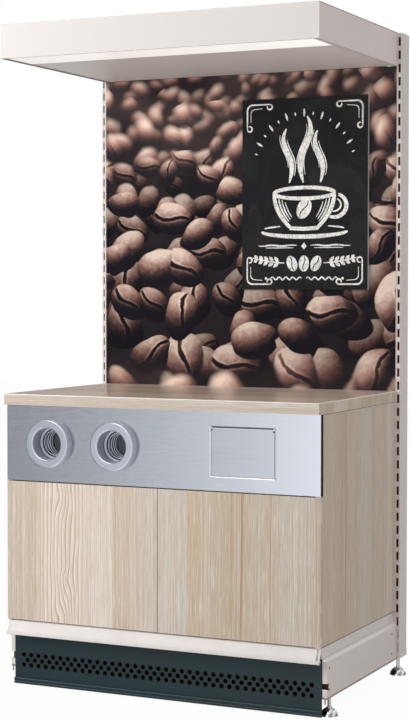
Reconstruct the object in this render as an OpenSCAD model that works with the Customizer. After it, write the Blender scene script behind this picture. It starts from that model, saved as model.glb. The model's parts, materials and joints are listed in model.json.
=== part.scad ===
// Coffee station on a shop gondola frame: two slotted uprights on levelling feet carry a lit
// canopy, a print panel and a base shelf, and a cabinet with a steel fascia stands on the shelf.
// Front is -Y, the width runs along X, and the origin is on the floor under the middle.

/* [Frame] */
// Distance between the upright centres
bay_w = 1000; // [940:5:1200]
// Width of an upright, across its slotted face
post_w = 30; // [28:1:40]
// Depth of an upright
post_d = 70; // [60:1:90]
// Wall of an upright
post_wall = 2; // [1.5:0.5:3]
// Height of the upright tops above the floor
post_top = 1957; // [1900:1:2100]
// Height of the upright bottoms above the floor
post_bottom = 58; // [54:1:66]
// Distance from one slot to the next
slot_pitch = 40; // [36:1:50]
// Height of a slot
slot_h = 24; // [20:1:28]
// Width of a slot
slot_w = 4.2; // [3.6:0.1:5]
// Distance of each slot column from the middle of the upright
slot_off = 8.4; // [7.5:0.1:10]
// Distance from the upright's top to the middle of the first slot
slot_start = 26; // [20:1:34]
// Thickness of the plastic plug on top of an upright
cap_t = 2; // [1.5:0.5:4]
// Height of the steel shoe round an upright's foot
shoe_h = 14; // [10:1:24]
// Wall of the steel shoe
shoe_t = 1.5; // [1:0.5:2.5]
// Thickness of the shoe's floor, which takes the foot's thread
shoe_floor = 3; // [2:1:5]
// Height of a crossbar behind the panels
bar_h = 40; // [30:5:60]
// Depth of a crossbar
bar_d = 20; // [15:1:30]

/* [Feet] */
// Diameter of a foot's domed pad
pad_d = 50; // [40:1:50]
// Height of the domed pad
pad_h = 26; // [20:1:32]
// Diameter of a foot's threaded stem
stem_d = 10; // [8:1:12]
// Length of the stem above the pad
stem_l = 66; // [60:1:80]
// Gap round the stem in its nut
thread_gap = 0.06; // [0.02:0.01:0.1]
// Width of a nut across its flats
nut_w = 17; // [16:1:19]
// Thickness of a nut
nut_t = 8; // [6:1:10]

/* [Base] */
// Sheet thickness of a base leg
leg_t = 2; // [1.5:0.5:3]
// Height of a base leg's lower edge above the floor
leg_bottom = 54; // [50:1:58]
// Width of a base leg's folded flanges
leg_flange = 30; // [26:1:40]
// Distance of a base leg's side plate outside the upright's centre
leg_out = 7; // [0:0.5:7.5]
// Distance of the front feet behind the base legs' front edges
foot_in = 45.5; // [30:0.5:80]
// Height of a base leg's sloping shoulder, where it steps in under the shelf
shoulder_h = 10; // [6:1:14]
// Height of the shelf's top
shelf_z = 200; // [190:1:220]
// Height of the shelf's side bands
band_h = 30; // [24:1:36]
// Sheet thickness of the shelf
shelf_t = 1.2; // [0.8:0.1:2]
// Distance of the shelf's front edge from the uprights
shelf_reach = 603; // [590:1:615]
// Forward lean of the price lip, from its top to its bottom
lip_lean = 16; // [8:1:22]
// Height of the price lip
lip_h = 41; // [34:1:46]
// Thickness of the ticket strip in the price lip
strip_t = 1.6; // [1:0.2:2.4]
// Sheet thickness of the kick plate
kick_t = 1.2; // [0.8:0.1:2]
// Distance of the kick plate's face from the uprights
kick_reach = 582; // [575:1:588]
// Height of the kick plate's top
kick_top = 156; // [150:1:157]
// Gap between the kick plate and the floor
kick_bottom = 4; // [2:1:8]
// Radius of each bead along the kick plate's bottom
bead_r = 4.6; // [3.5:0.1:5]
// Diameter of a kick plate hole
hole_d = 12; // [8:1:14]
// Distance between holes in one row
hole_pitch = 25; // [20:1:30]
// Distance between rows of holes
row_pitch = 15; // [13:1:18]
// Height of the middle row of holes
row_mid_z = 76.6; // [70:1:90]

/* [Panels] */
// Sheet thickness of the back panels
panel_t = 1.5; // [1:0.1:2]
// Depth of the back panels' folded edges
panel_fold = 15; // [10:1:22]
// Width of the chalkboard poster
poster_w = 419; // [300:1:460]
// Height of the chalkboard poster
poster_h = 594; // [400:1:640]
// Thickness of the chalkboard poster
poster_t = 11; // [6:1:14]
// Sideways place of the poster's middle
poster_x = 203.5; // [100:1:240]
// Height of the poster's lower edge above the worktop
poster_rise = 308; // [200:1:350]

/* [Canopy] */
// Depth of the canopy in front of the uprights
canopy_d = 640; // [620:1:660]
// Height of the canopy
canopy_h = 100; // [90:1:140]
// Overhang of the canopy past the upright centres
canopy_over = 2; // [0:0.5:4]
// Sheet thickness of the canopy
canopy_t = 1.2; // [0.8:0.1:2]
// Width of the canopy's lower side lips
canopy_lip = 18; // [14:1:30]
// Depth of the lit panel under the canopy
led_d = 147; // [100:1:180]
// Thickness of the lit panel
led_t = 3; // [2:0.5:5]
// Height of the tray over the lit panel
tray_h = 30; // [24:1:40]
// Length of a canopy bracket
bracket_l = 420; // [300:10:500]
// Thickness of a canopy bracket
bracket_t = 2.5; // [2:0.5:3]

/* [Cabinet] */
// Thickness of the cabinet boards
board_t = 16; // [14:1:20]
// Thickness of the back board
back_t = 8; // [6:1:12]
// Height of the worktop's top
worktop_z = 874; // [850:1:900]
// Thickness of the worktop
worktop_t = 32; // [28:1:40]
// Distance of the worktop's front edge from the uprights
worktop_reach = 630; // [620:1:638]
// Distance of the cabinet's front edges from the uprights
carcass_reach = 594; // [588:1:600]
// Gap at the outer ends of doors and fascia
side_gap = 0.5; // [0.3:0.1:2]
// Height of the fascia
fascia_h = 224; // [215:1:240]
// Thickness of the fascia's board
fascia_t = 18; // [16:1:20]
// Thickness of the fascia's steel skin
skin_t = 1; // [0.8:0.1:1.5]
// Thickness of a door
door_t = 17; // [16:1:19]
// Gap behind a closed door
door_back_gap = 2; // [1.8:0.1:3]
// Gap above and below a door
door_gap = 3.3; // [3:0.1:5]
// Gap between the two doors
mid_gap = 2.6; // [2:0.1:5]
// Radius of a door's pivot pin
pivot_r = 2; // [1.8:0.1:2.5]
// Radius of the bush round the pivot pin
bush_r = 3.2; // [3:0.1:3.6]
// Length of the bush
bush_l = 14; // [10:1:20]
// Distance of the pivot pin from the door's outer edge
pivot_in = 5; // [4.4:0.1:5.2]
// Running gap round pins
run_gap = 0.05; // [0.02:0.01:0.09]
// Thickness of the pivot plates
pivot_plate = 2; // [1.5:0.1:2.4]

/* [Cup dispensers] */
// Distance of the outer dispenser from the left upright's centre
cup_edge = 150; // [120:1:170]
// Distance between the dispensers
cup_pitch = 214.5; // [170:0.5:230]
// Height of the dispensers above the fascia's lower edge
cup_rise = 113; // [100:1:120]
// Radius of the collar
collar_r = 70; // [64:1:76]
// Radius of the collar's bore
cup_bore_r = 46.2; // [45:0.1:48]
// Depth of the collar in front of the fascia
collar_out = 27; // [20:1:30]
// Radius of the collar's spigot through the fascia
spigot_r = 55; // [53:0.5:58]
// Outer radius of the cup tube
tube_r = 50; // [49:0.5:52]
// Wall of the cup tube
tube_wall = 2; // [1:0.5:2.5]
// Length of the cup tube
tube_l = 480; // [400:10:520]
// Radius of the opening through the sleeve's ribs
rib_r = 37; // [34:0.5:40]
// Distance between the sleeve's ribs
rib_pitch = 13; // [10:0.5:15]
// Number of the sleeve's ribs
rib_n = 4; // [3:1:5]
// Distance of the pusher's face behind the collar's front
pusher_in = 112; // [110:1:130]
// Length of the pusher's skirt
skirt_l = 26; // [20:1:40]
// Radius of the pusher spring's wire
wire_r = 1.4; // [1:0.1:2]
// Number of the pusher spring's turns
spring_n = 9; // [6:1:12]

/* [Waste flap] */
// Distance of the flap's middle from the right upright's centre
flap_edge = 234.5; // [200:0.5:260]
// Height of the flap frame's lower edge above the fascia's
flap_rise = 37; // [30:1:44]
// Width of the flap frame
flap_w = 203; // [160:1:220]
// Height of the flap frame
flap_h = 147; // [120:1:160]
// Width of the flap frame's border
flap_border = 4; // [4:0.5:9]
// Gap round the flap
flap_gap = 1; // [1:0.1:3]
// Sheet thickness of the flap and its frame
flap_t = 1.5; // [1:0.1:2]
// Radius of the flap's pin
flap_pin_r = 2.5; // [2:0.1:3]
// Depth of the waste chute
chute_d = 160; // [150:1:200]
// Width of the waste bin
bin_w = 300; // [280:1:340]
// Depth of the waste bin
bin_d = 300; // [260:1:340]
// Gap between the chute and the waste bin below it
bin_drop = 26; // [12:1:80]
// Wall of the waste bin
bin_wall = 2.5; // [2:0.5:4]

/* [Hidden] */
$fn = 48;

// Small shared clearances: between pieces that only touch, and to cut right through a wall
seat = 0.3;
cut = 1;

// Frame places
post_x = bay_w / 2;
back_y = (canopy_d + post_d) / 2;
post_y = back_y - post_d;
top_slot_z = post_top - slot_start;
slot_n = floor((top_slot_z - 90) / slot_pitch) + 1;
hook_x = post_x - slot_off;
bar_y = back_y - post_wall - bar_d - 8;
upper_bar_z = post_top - 75;
lower_bar_z = shelf_z + 8;

// Feet places
kick_y = post_y - kick_reach;
leg_x = post_x + leg_out;
leg_y = kick_y + kick_t + seat;
nut_gap = 0.5;
foot_front_y = leg_y + foot_in;
foot_rear_y = back_y - post_d / 2;
foot_front_x = leg_x - leg_t - nut_w / 2 - nut_gap;
front_nut_z = leg_bottom + leg_t;
rear_nut_z = post_bottom + shoe_floor;

// Base places
band_in = 1;
band_roll = 1.1;
shelf_y = post_y - shelf_reach;
band_z = shelf_z - band_h;
leg_step = leg_out + band_in + 2 * band_roll + seat;
shoulder_z = band_z - band_roll - seat - shoulder_h;
rivet_r = 3;
rivet_head = 0.8;
rivet_front_y = leg_y + 18.5;
rivet_rear_y = post_y - 43;
rivet_z = [shoulder_z - 19.6, leg_bottom + 25];
notch_z = leg_bottom + 24;
notch_h = 20;
notch_d = 14;
kick_in = 7;
kick_w = bay_w - 2 * kick_in;
kick_fold_x = leg_x - leg_flange - 1;
row_n = floor((kick_w - 38) / hole_pitch) + 1;
kick_tab_h = 15;
bead_out = 2.2;

// Panel places
panel_y = post_y - panel_t;
fold_x = post_x - post_w / 2 - 1.2;
print_z = worktop_z;
canopy_z = post_top + 1 - canopy_h;
poster_z = worktop_z + poster_rise;
hook_t = 2;
hook_h = 18;
hook_drop = 6;
hook_in = 30;

// Canopy places
canopy_w = bay_w + 2 * canopy_over;
canopy_y = post_y - canopy_d;
canopy_front_lip = 5;
led_y = canopy_y + canopy_front_lip;
led_w = canopy_w - 2 * canopy_lip - 2;
tray_t = 1;
arm_root = 60;
arm_tip = 24;
arm_hole_pitch = 90;
driver_x = -300;
driver_in = 60;
driver_l = 180;
driver_w = 42;
driver_h = 26;

// Cabinet places
carcass_y = post_y - carcass_reach;
front_y = carcass_y - fascia_t - skin_t;
worktop_y = post_y - worktop_reach;
side_top = worktop_z - worktop_t;
inner_x = post_x - board_t;
floor_z = shelf_z + board_t;
cab_back_y = panel_y - back_t;
fascia_z = side_top - fascia_h;
fascia_w = bay_w - 2 * side_gap;
door_y = carcass_y - door_back_gap - door_t;
door_z = shelf_z + door_gap;
door_top = fascia_z - door_gap;
pivot_x = fascia_w / 2 - pivot_in;
pivot_y = door_y + door_t / 2;
plate_gap = 0.5;
plate_tab_h = 30;
tab_low_z = door_z - door_gap + plate_gap;
tab_high_z = door_top + door_gap - plate_gap - plate_tab_h;
rail_h = flap_rise - 4;
angle_in = 60;
angle_w = 30;
angle_leg = 40;
angle_t = 2;

// Dispenser places, along each tube from the collar's front face
cup_left_x = cup_edge - post_x;
cup_right_x = cup_left_x + cup_pitch;
cup_z = fascia_z + cup_rise;
collar_y = front_y - collar_out;
tube_start = collar_out + skin_t + fascia_t;
spigot_end = tube_start + 4;
tube_seat = spigot_end - 12;
tube_in_r = tube_r - tube_wall;
sleeve_start = tube_start + 3;
sleeve_ring = 11;
rib_t = 1.8;
sleeve_end = pusher_in - seat;
tube_end = tube_seat + tube_l;
cap_plug = 8;
spring_start = pusher_in + 5 + seat;
spring_end = tube_end - cap_plug - seat;
spring_r = tube_in_r - 9;
hanger_in = 320;
hanger_t = 2;
hanger_h = 24;

// Flap places
flap_x = post_x - flap_edge;
flap_z = fascia_z + flap_rise;
flap_top = flap_z + flap_h;
frame_proud = 1.2;
flap_lap = 1.5;
flap_bevel = 2.5;
knuckle_r = flap_pin_r + 1.7;
pin_tab = 5;
pin_z = flap_top - flap_border - knuckle_r - flap_gap;
pin_y = front_y + knuckle_r + 1;
flap_in_w = flap_w - 2 * flap_border;
chute_t = 1.5;
chute_w = flap_in_w + 2 * chute_t + 8;
chute_z = fascia_z - 16;
chute_top = flap_top + 6;
chute_y = carcass_y + board_t + 1;
bin_y = carcass_y + 8;
bin_x = flap_x;
bin_h = chute_z - bin_drop - floor_z;
bin_rim = 9;
bin_corner = 24;
bin_draft = 12;

// Latch places
latch_w = 14;
latch_h = 18;
latch_l = 62;
latch_z = fascia_z - 46;
latch_y = carcass_y + 6;
latch_x = board_t / 2 + latch_w / 2;
plunger_r = 4;
plunger_travel = 6;
latch_bore = 40;
buffer_r = 3.5;
buffer_low = 60;
buffer_high = 90;

metal = [0.87, 0.84, 0.82];
metal_dark = [0.70, 0.67, 0.65];
laminate = [0.86, 0.79, 0.69];
steel = [0.72, 0.75, 0.80];
satin = [0.66, 0.70, 0.77];
black = [0.10, 0.10, 0.11];

// Draws a section in Y and Z and runs it along X, centred
module along_x(len) { rotate([90, 0, 90]) linear_extrude(len, center = true) children(); }

// Draws a section in X and Z and runs it along +Y from zero
module along_y(len) { translate([0, len, 0]) rotate([90, 0, 0]) linear_extrude(len) children(); }

// A box between two corners
module span(a, b) { translate(a) cube(b - a); }

module mirror_x() {
    children();
    mirror([1, 0, 0]) children();
}

// A flat rectangle with round corners, centred
module round_rect(w, h, r) {
    square([w - 2 * r, h], center = true);
    square([w, h - 2 * r], center = true);
    for (x = [-1, 1], y = [-1, 1])
        translate([x * (w / 2 - r), y * (h / 2 - r)]) circle(r);
}

// A strip of even width between two points of a section
module strip(a, b, t) {
    d = b - a;
    translate(a) rotate(atan2(d[1], d[0])) square([norm(d), t]);
}

// Sheet hook that drops through an upright's slot and hangs on its lower edge
module slot_hook(slot_index, side) {
    z = top_slot_z - slot_index * slot_pitch - slot_h / 2;
    translate([side * hook_x - hook_t / 2, post_y - 1, z])
        cube([hook_t, post_wall + 1 + seat, hook_h]);
    translate([side * hook_x - hook_t / 2, post_y + post_wall + seat, z - hook_drop])
        cube([hook_t, 6, hook_h + hook_drop]);
}

// First slot at least hook_in below a panel's top, the last above its bottom, and one midway
function panel_slots(z0, z1, count) = let (
    a = ceil((top_slot_z - z1 + hook_in) / slot_pitch),
    b = floor((top_slot_z - z0 - hook_in) / slot_pitch))
    [for (k = [0 : count - 1]) round(a + (b - a) * k / (count - 1))];

// Frame

// Slotted rectangular tube with its edges rounded
module upright(side) color(metal) translate([side * post_x, back_y - post_d / 2, 0])
    difference() {
        translate([0, 0, post_bottom]) linear_extrude(post_top - cap_t - post_bottom)
            difference() {
                round_rect(post_w, post_d, 2);
                square([post_w - 2 * post_wall, post_d - 2 * post_wall], center = true);
            }
        for (i = [0 : slot_n - 1], x = [-slot_off, slot_off])
            translate([x - slot_w / 2, -post_d / 2 - cut, top_slot_z - i * slot_pitch - slot_h / 2])
                cube([slot_w, post_wall + 2 * cut, slot_h]);
    }

module left_upright() { upright(-1); }
module right_upright() { upright(1); }

module upright_caps() color(metal) mirror_x()
    translate([post_x, back_y - post_d / 2, post_top - cap_t]) {
        linear_extrude(cap_t) round_rect(post_w, post_d, 2);
        translate([0, 0, -10]) linear_extrude(10) difference() {
            square([post_w - 2 * post_wall - 2 * seat, post_d - 2 * post_wall - 2 * seat], center = true);
            square([post_w - 2 * post_wall - 4, post_d - 2 * post_wall - 4], center = true);
        }
    }

// Steel shoe round the upright's foot, with the plate that the foot screws into
module upright_shoes() color(metal) mirror_x()
    translate([post_x, back_y - post_d / 2, post_bottom - shoe_t])
        difference() {
            union() {
                // The shoe stays flush with the upright's back
                translate([0, -shoe_t / 2, 0]) linear_extrude(shoe_h + shoe_t)
                    difference() {
                        round_rect(post_w + 2 * shoe_t, post_d + shoe_t, 2.5);
                        translate([0, shoe_t / 2 + 1]) square([post_w, post_d + 2], center = true);
                    }
                translate([-post_w / 2, -post_d / 2, 0]) cube([post_w, post_d, shoe_t]);
                translate([-post_w / 2 + post_wall, -post_d / 2 + post_wall, 0])
                    cube([post_w - 2 * post_wall, post_d - 2 * post_wall, shoe_t + shoe_floor]);
            }
            translate([0, 0, -cut]) cylinder(r = stem_d / 2 + 0.5, h = shoe_floor + shoe_t + 2 * cut);
        }

// Tubes between the uprights, each with an end plate
module crossbars() color(metal_dark) for (z = [lower_bar_z, upper_bar_z])
    translate([0, bar_y, z]) {
        span_w = 2 * (post_x - post_w / 2);
        plate_t = 3;
        translate([0, bar_d / 2, bar_h / 2]) along_x(span_w - 2 * plate_t) difference() {
            round_rect(bar_d, bar_h, 2);
            square([bar_d - 3, bar_h - 3], center = true);
        }
        mirror_x() translate([span_w / 2 - plate_t, -6, -8])
            cube([plate_t, bar_d + 12, bar_h + 16]);
    }

// Base

// Side plate of a leg with its shoulder, flanges and notch, and hooks into the upright
module base_leg(side) color(metal) scale([side, 1, 1]) {
    y0 = leg_y;
    y1 = post_y;
    x = leg_x;
    xs = x - leg_step;
    shoe_top = post_bottom + shoe_h;
    top = shelf_z - shelf_t;
    difference() {
        union() {
            translate([0, y0, 0]) along_y(y1 - y0) union() {
                polygon([
                    [x, leg_bottom], [x, shoulder_z], [xs, shoulder_z + shoulder_h], [xs, top],
                    [xs - leg_t, top], [xs - leg_t, shoulder_z + shoulder_h],
                    [x - leg_t, shoulder_z], [x - leg_t, leg_bottom]
                ]);
                translate([x - leg_flange, leg_bottom]) square([leg_flange, leg_t]);
                translate([xs - leg_flange, top - leg_t]) square([leg_flange, leg_t]);
            }
            span([x - leg_flange, y0, leg_bottom], [x, y0 + leg_t, shoulder_z]);
            span([x - leg_flange, y0, shoulder_z], [xs, y0 + leg_t, top]);
            // Small tab below the front flange
            span([x - 8, y0, leg_bottom - 14], [x - 4, y0 + leg_t, leg_bottom + leg_t]);
            // Rear flange lies on the upright, and covers its outer slots up to the shoulder
            span([x - leg_flange, y1 - leg_t, leg_bottom], [x, y1, shelf_z - 10]);
            span([x - leg_flange, y1 - leg_t, shelf_z - 10], [xs, y1, top]);
            span([x - leg_t, y1 - leg_t, shoe_top + 2], [post_x + slot_off + slot_w / 2, y1, shoulder_z]);
        }
        // Notch in the front corner for the kick plate's tab
        span([x - leg_flange - cut, y0 - cut, notch_z], [x + cut, y0 + notch_d, notch_z + notch_h]);
        translate([foot_front_x, foot_front_y, leg_bottom - cut])
            cylinder(r = stem_d / 2 + 0.5, h = leg_t + 2 * cut);
        for (z = rivet_z, y = [rivet_front_y, rivet_rear_y])
            translate([x - leg_t - cut, y, z]) rotate([0, 90, 0])
                cylinder(r = rivet_r, h = leg_t + 2 * cut);
        // Its lower rear corner clears the upright's shoe
        span([x - leg_flange - cut, y1 - shoe_t - seat, leg_bottom - cut],
             [x + cut, y1 + cut, shoe_top + seat]);
    }
    for (i = [slot_n - 3, slot_n - 2]) slot_hook(i, 1);
}

module left_base_leg() { base_leg(-1); }
module right_base_leg() { base_leg(1); }

// Rivets with low domed heads, flush inside
module leg_rivets() color(metal_dark) mirror_x()
    for (z = rivet_z, y = [rivet_front_y, rivet_rear_y])
        translate([leg_x - leg_t, y, z]) rotate([0, 90, 0]) {
            cylinder(r = rivet_r, h = leg_t);
            translate([0, 0, leg_t]) cylinder(r1 = rivet_r + 0.6, r2 = rivet_r - 0.6, h = rivet_head);
        }

// Shelf tray with side bands, and a folded price lip that leans out along the front
module base_shelf() color(metal) {
    x = post_x - band_in;
    lip_in = shelf_t;
    bottom = [shelf_y - lip_lean, shelf_z - lip_h];
    union() {
        span([-x, shelf_y, shelf_z - shelf_t], [x, post_y - seat, shelf_z]);
        mirror_x() span([x - shelf_t, shelf_y, band_z], [x, post_y - 24, shelf_z - shelf_t / 2]);
        mirror_x() translate([x - band_roll, shelf_y + 12, band_z])
            rotate([-90, 0, 0]) cylinder(r = band_roll, h = post_y - 36 - shelf_y);
        // The shelf's rear edge folds down between the legs
        span([-x + leg_flange + 8, post_y - seat - shelf_t, shelf_z - 20],
             [x - leg_flange - 8, post_y - seat, shelf_z - shelf_t / 2]);
        along_x(2 * x) union() {
            strip([shelf_y, shelf_z], bottom, lip_in);
            translate([bottom[0] - 1.6, bottom[1] + 0.6]) circle(2.2);
            strip([bottom[0] - 3.4, bottom[1] + 1], [bottom[0] - 2.0, bottom[1] + 9], 1);
            translate([shelf_y, shelf_z - shelf_t]) circle(shelf_t);
            strip([bottom[0], bottom[1] - 1.6], [bottom[0] + 13, bottom[1] + 4], lip_in);
        }
    }
}

// Ticket strip held in front of the price lip
module ticket_strip() color(metal) {
    y0 = shelf_y - lip_lean - seat - 0.2;
    z0 = shelf_z - lip_h + 5;
    y1 = shelf_y - 2.4;
    z1 = shelf_z - 3;
    along_x(2 * (post_x - 11)) union() {
        strip([y0, z0], [y1, z1], strip_t);
        translate([y1 - strip_t / 2, z1]) circle(strip_t / 2 + 0.4);
    }
}

// Perforated kick plate with two beads along the bottom and a tab at each end
module kick_plate() color([0.17, 0.22, 0.23]) difference() {
    z0 = kick_bottom + 2 * bead_r;
    union() {
        span([-kick_w / 2, kick_y, z0], [kick_w / 2, kick_y + kick_t, kick_top]);
        // Its top folds back between the legs
        span([-kick_fold_x, kick_y, kick_top - kick_t], [kick_fold_x, kick_y + 12, kick_top]);
        along_x(kick_w) union() {
            difference() {
                for (k = [0, 1]) translate([kick_y - bead_out, kick_bottom + bead_r * (1 + 2 * k)])
                    circle(bead_r);
                for (k = [0, 1]) translate([kick_y - bead_out, kick_bottom + bead_r * (1 + 2 * k)])
                    circle(bead_r - kick_t);
                translate([kick_y + kick_t, kick_bottom - cut]) square([20, 60]);
            }
            translate([kick_y - bead_out, kick_bottom]) square([bead_out + kick_t, kick_t]);
            translate([kick_y - bead_out, kick_bottom + 4 * bead_r - kick_t])
                square([bead_out + kick_t, kick_t]);
            translate([kick_y - bead_out - kick_t / 2, kick_bottom + 2 * bead_r - kick_t])
                square([bead_out + kick_t, 2 * kick_t]);
            translate([kick_y, kick_bottom]) square([kick_t, 4 * bead_r]);
        }
        // Tabs rest in the notches of the legs
        mirror_x() span([kick_w / 2 - 10, kick_y, notch_z],
                        [kick_w / 2 - 8, leg_y + notch_d - 3, notch_z + kick_tab_h]);
    }
    // The middle row has one hole fewer
    for (row = [-1, 0, 1]) {
        n = row_n - (row == 0 ? 1 : 0);
        for (i = [0 : n - 1])
            translate([(i - (n - 1) / 2) * hole_pitch, kick_y - cut, row_mid_z + row * row_pitch])
                rotate([-90, 0, 0]) cylinder(r = hole_d / 2, h = kick_t + 2 * cut);
    }
}

// Panels

// Sheet panel on the faces of the uprights, with folded edges between them and hooks
module back_panel(z0, z1, hook_n) {
    span([-post_x, panel_y, z0], [post_x, post_y, z1]);
    mirror_x() span([fold_x - panel_t, post_y - panel_t, z0], [fold_x, post_y + panel_fold, z1]);
    span([-fold_x, post_y - panel_t, z0], [fold_x, post_y + panel_fold, z0 + panel_t]);
    span([-fold_x, post_y - panel_t, z1 - panel_t], [fold_x, post_y + panel_fold, z1]);
    for (i = panel_slots(z0, z1, hook_n), side = [-1, 1]) slot_hook(i, side);
}

module lower_back_panel() color(metal_dark)
    back_panel(shelf_z + seat, print_z - seat, 2);

module print_panel() color([0.36, 0.22, 0.17])
    back_panel(print_z, canopy_z - seat, 3);

module poster_board() color([0.13, 0.13, 0.14])
    translate([poster_x, panel_y - poster_t, poster_z + poster_h / 2]) rotate([-90, 0, 0])
        linear_extrude(poster_t) round_rect(poster_w, poster_h, 2);

// Canopy

// Folded sheet housing, open below, with lips that carry the soffit and the lit panel
module canopy_shell() color(metal) {
    w = canopy_w / 2;
    z1 = canopy_z + canopy_h;
    t = canopy_t;
    difference() {
        span([-w, canopy_y, canopy_z], [w, post_y, z1]);
        span([-w + t, canopy_y + t, canopy_z + t], [w - t, post_y + cut, z1 - t]);
        span([-w + canopy_lip, canopy_y + canopy_front_lip, canopy_z - cut],
             [w - canopy_lip, post_y + cut, canopy_z + 2 * t]);
    }
    // Rear edge of the top folds down between the uprights
    span([-fold_x, post_y - t, z1 - 30], [fold_x, post_y, z1 - t / 2]);
}

// Tapered arms that hook into the uprights and carry the canopy's top
module canopy_brackets() color(metal_dark) for (side = [-1, 1]) {
    z1 = canopy_z + canopy_h - canopy_t;
    z0 = canopy_z + canopy_t + 8;
    difference() {
        translate([side * hook_x + bracket_t / 2, 0, 0]) rotate([0, -90, 0]) linear_extrude(bracket_t)
            polygon([[z0, post_y], [z1, post_y], [z1, post_y - bracket_l],
                     [z1 - arm_tip, post_y - bracket_l], [z0, post_y - arm_root]]);
        for (k = [1 : 3]) translate([side * hook_x - bracket_t, post_y - arm_hole_pitch * k, z1 - 22])
            rotate([0, 90, 0]) cylinder(r = 10 - k, h = 2 * bracket_t);
    }
    span([side * hook_x - (side > 0 ? 14 : 0), post_y - bracket_l, z1 - 2],
         [side * hook_x + (side > 0 ? 0 : 14), post_y - 4, z1]);
    for (i = [0, 1]) slot_hook(i, side);
}

// Sheet closing the canopy behind the lit panel
module canopy_soffit() color(metal_dark) {
    w = canopy_w / 2 - canopy_t - seat;
    y0 = led_y + led_d;
    z0 = canopy_z + canopy_t;
    x_in = hook_x - bracket_t / 2 - seat;
    union() {
        span([-x_in, y0, z0], [x_in, post_y, z0 + canopy_t]);
        mirror_x() span([x_in - 1, y0, z0], [w, post_y, z0 + canopy_t]);
        span([-x_in, y0, z0], [x_in, y0 + canopy_t, z0 + 16]);
        span([-fold_x, post_y - canopy_t, z0], [fold_x, post_y, z0 + 16]);
    }
}

module led_diffuser() color([0.98, 0.98, 0.96])
    span([-led_w / 2 - 4, led_y - 2, canopy_z + canopy_t],
         [led_w / 2 + 4, led_y + led_d - seat, canopy_z + canopy_t + led_t]);

// Sheet tray over the diffuser with two rows of lamp strips
module led_tray() color([0.93, 0.93, 0.92]) {
    z0 = canopy_z + canopy_t + led_t;
    x = led_w / 2;
    difference() {
        span([-x, led_y, z0], [x, led_y + led_d - seat, z0 + tray_h]);
        span([-x + tray_t, led_y + tray_t, z0 - cut],
             [x - tray_t, led_y + led_d - seat - tray_t, z0 + tray_h - tray_t]);
    }
    for (k = [1, 2]) span([-x + 20, led_y + k * led_d / 3 - 6, z0 + tray_h - tray_t - 2],
                          [x - 20, led_y + k * led_d / 3 + 6, z0 + tray_h - tray_t / 2]);
}

// Lamp supply, standing on the soffit
module led_driver() color([0.92, 0.92, 0.90]) {
    z0 = canopy_z + 2 * canopy_t;
    translate([driver_x, led_y + led_d + driver_in, z0]) {
        translate([driver_l / 2, driver_w / 2, 0]) linear_extrude(driver_h) round_rect(driver_l, driver_w, 4);
        for (x = [-12, driver_l - 3]) translate([x, driver_w / 2 - 8, 0]) cube([15, 16, 3]);
    }
}

// Cabinet

// Worktop with its long front edges eased
module worktop() color(laminate) {
    y0 = worktop_y;
    z0 = side_top;
    r = 1.5;
    along_x(bay_w) union() {
        translate([y0 + r, z0]) square([panel_y - y0 - r, worktop_t]);
        translate([y0, z0 + r]) square([panel_y - y0, worktop_t - 2 * r]);
        for (z = [z0 + r, z0 + worktop_t - r]) translate([y0 + r, z]) circle(r);
    }
}

// Steel angles that hold the worktop on the side panels
module worktop_brackets() color(steel) mirror_x()
    for (y = [carcass_y + angle_in, cab_back_y - angle_in - angle_w]) {
        span([inner_x - angle_t, y, side_top - angle_leg], [inner_x, y + angle_w, side_top]);
        span([inner_x - angle_leg, y, side_top - angle_t], [inner_x, y + angle_w, side_top]);
    }

// Side board with pockets in its front edge for the pivot plates
module side_panel(side) color(laminate) scale([side, 1, 1]) difference() {
    span([inner_x, carcass_y, shelf_z], [post_x, panel_y, side_top]);
    for (z = [tab_low_z, tab_high_z])
        span([inner_x - cut, carcass_y - cut, z], [post_x - 2, carcass_y + pivot_plate, z + plate_tab_h]);
}

module left_side_panel() { side_panel(-1); }
module right_side_panel() { side_panel(1); }

module cabinet_bottom() color(laminate)
    span([-inner_x, carcass_y, shelf_z], [inner_x, cab_back_y, floor_z]);

module cabinet_back() color([0.90, 0.88, 0.85])
    span([-inner_x, cab_back_y, shelf_z], [inner_x, panel_y, side_top]);

module cabinet_divider() color(laminate)
    span([-board_t / 2, carcass_y, floor_z], [board_t / 2, cab_back_y, side_top]);

// Rails behind the fascia's lower edge, one in each half
module front_rails() color(laminate) mirror_x()
    span([board_t / 2, carcass_y, fascia_z], [inner_x, carcass_y + board_t, fascia_z + rail_h]);

module cup_holes(r) {
    for (x = [cup_left_x, cup_right_x]) translate([x, carcass_y + cut, cup_z])
        rotate([90, 0, 0]) cylinder(r = r, h = fascia_t + skin_t + 2 * cut, $fn = 64);
}

module flap_hole() {
    span([flap_x - flap_w / 2 + flap_lap, front_y - cut, flap_z + flap_lap],
         [flap_x + flap_w / 2 - flap_lap, carcass_y + cut, flap_top - flap_lap]);
}

module fascia_board() color([0.30, 0.27, 0.25]) difference() {
    span([-fascia_w / 2, front_y + skin_t, fascia_z], [fascia_w / 2, carcass_y, side_top]);
    cup_holes(spigot_r + seat);
    flap_hole();
}

// Brushed steel sheet over the fascia's board
module fascia_skin() color(steel) difference() {
    span([-fascia_w / 2, front_y, fascia_z], [fascia_w / 2, front_y + skin_t, side_top]);
    cup_holes(spigot_r + seat);
    flap_hole();
}

// Waste flap

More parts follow.
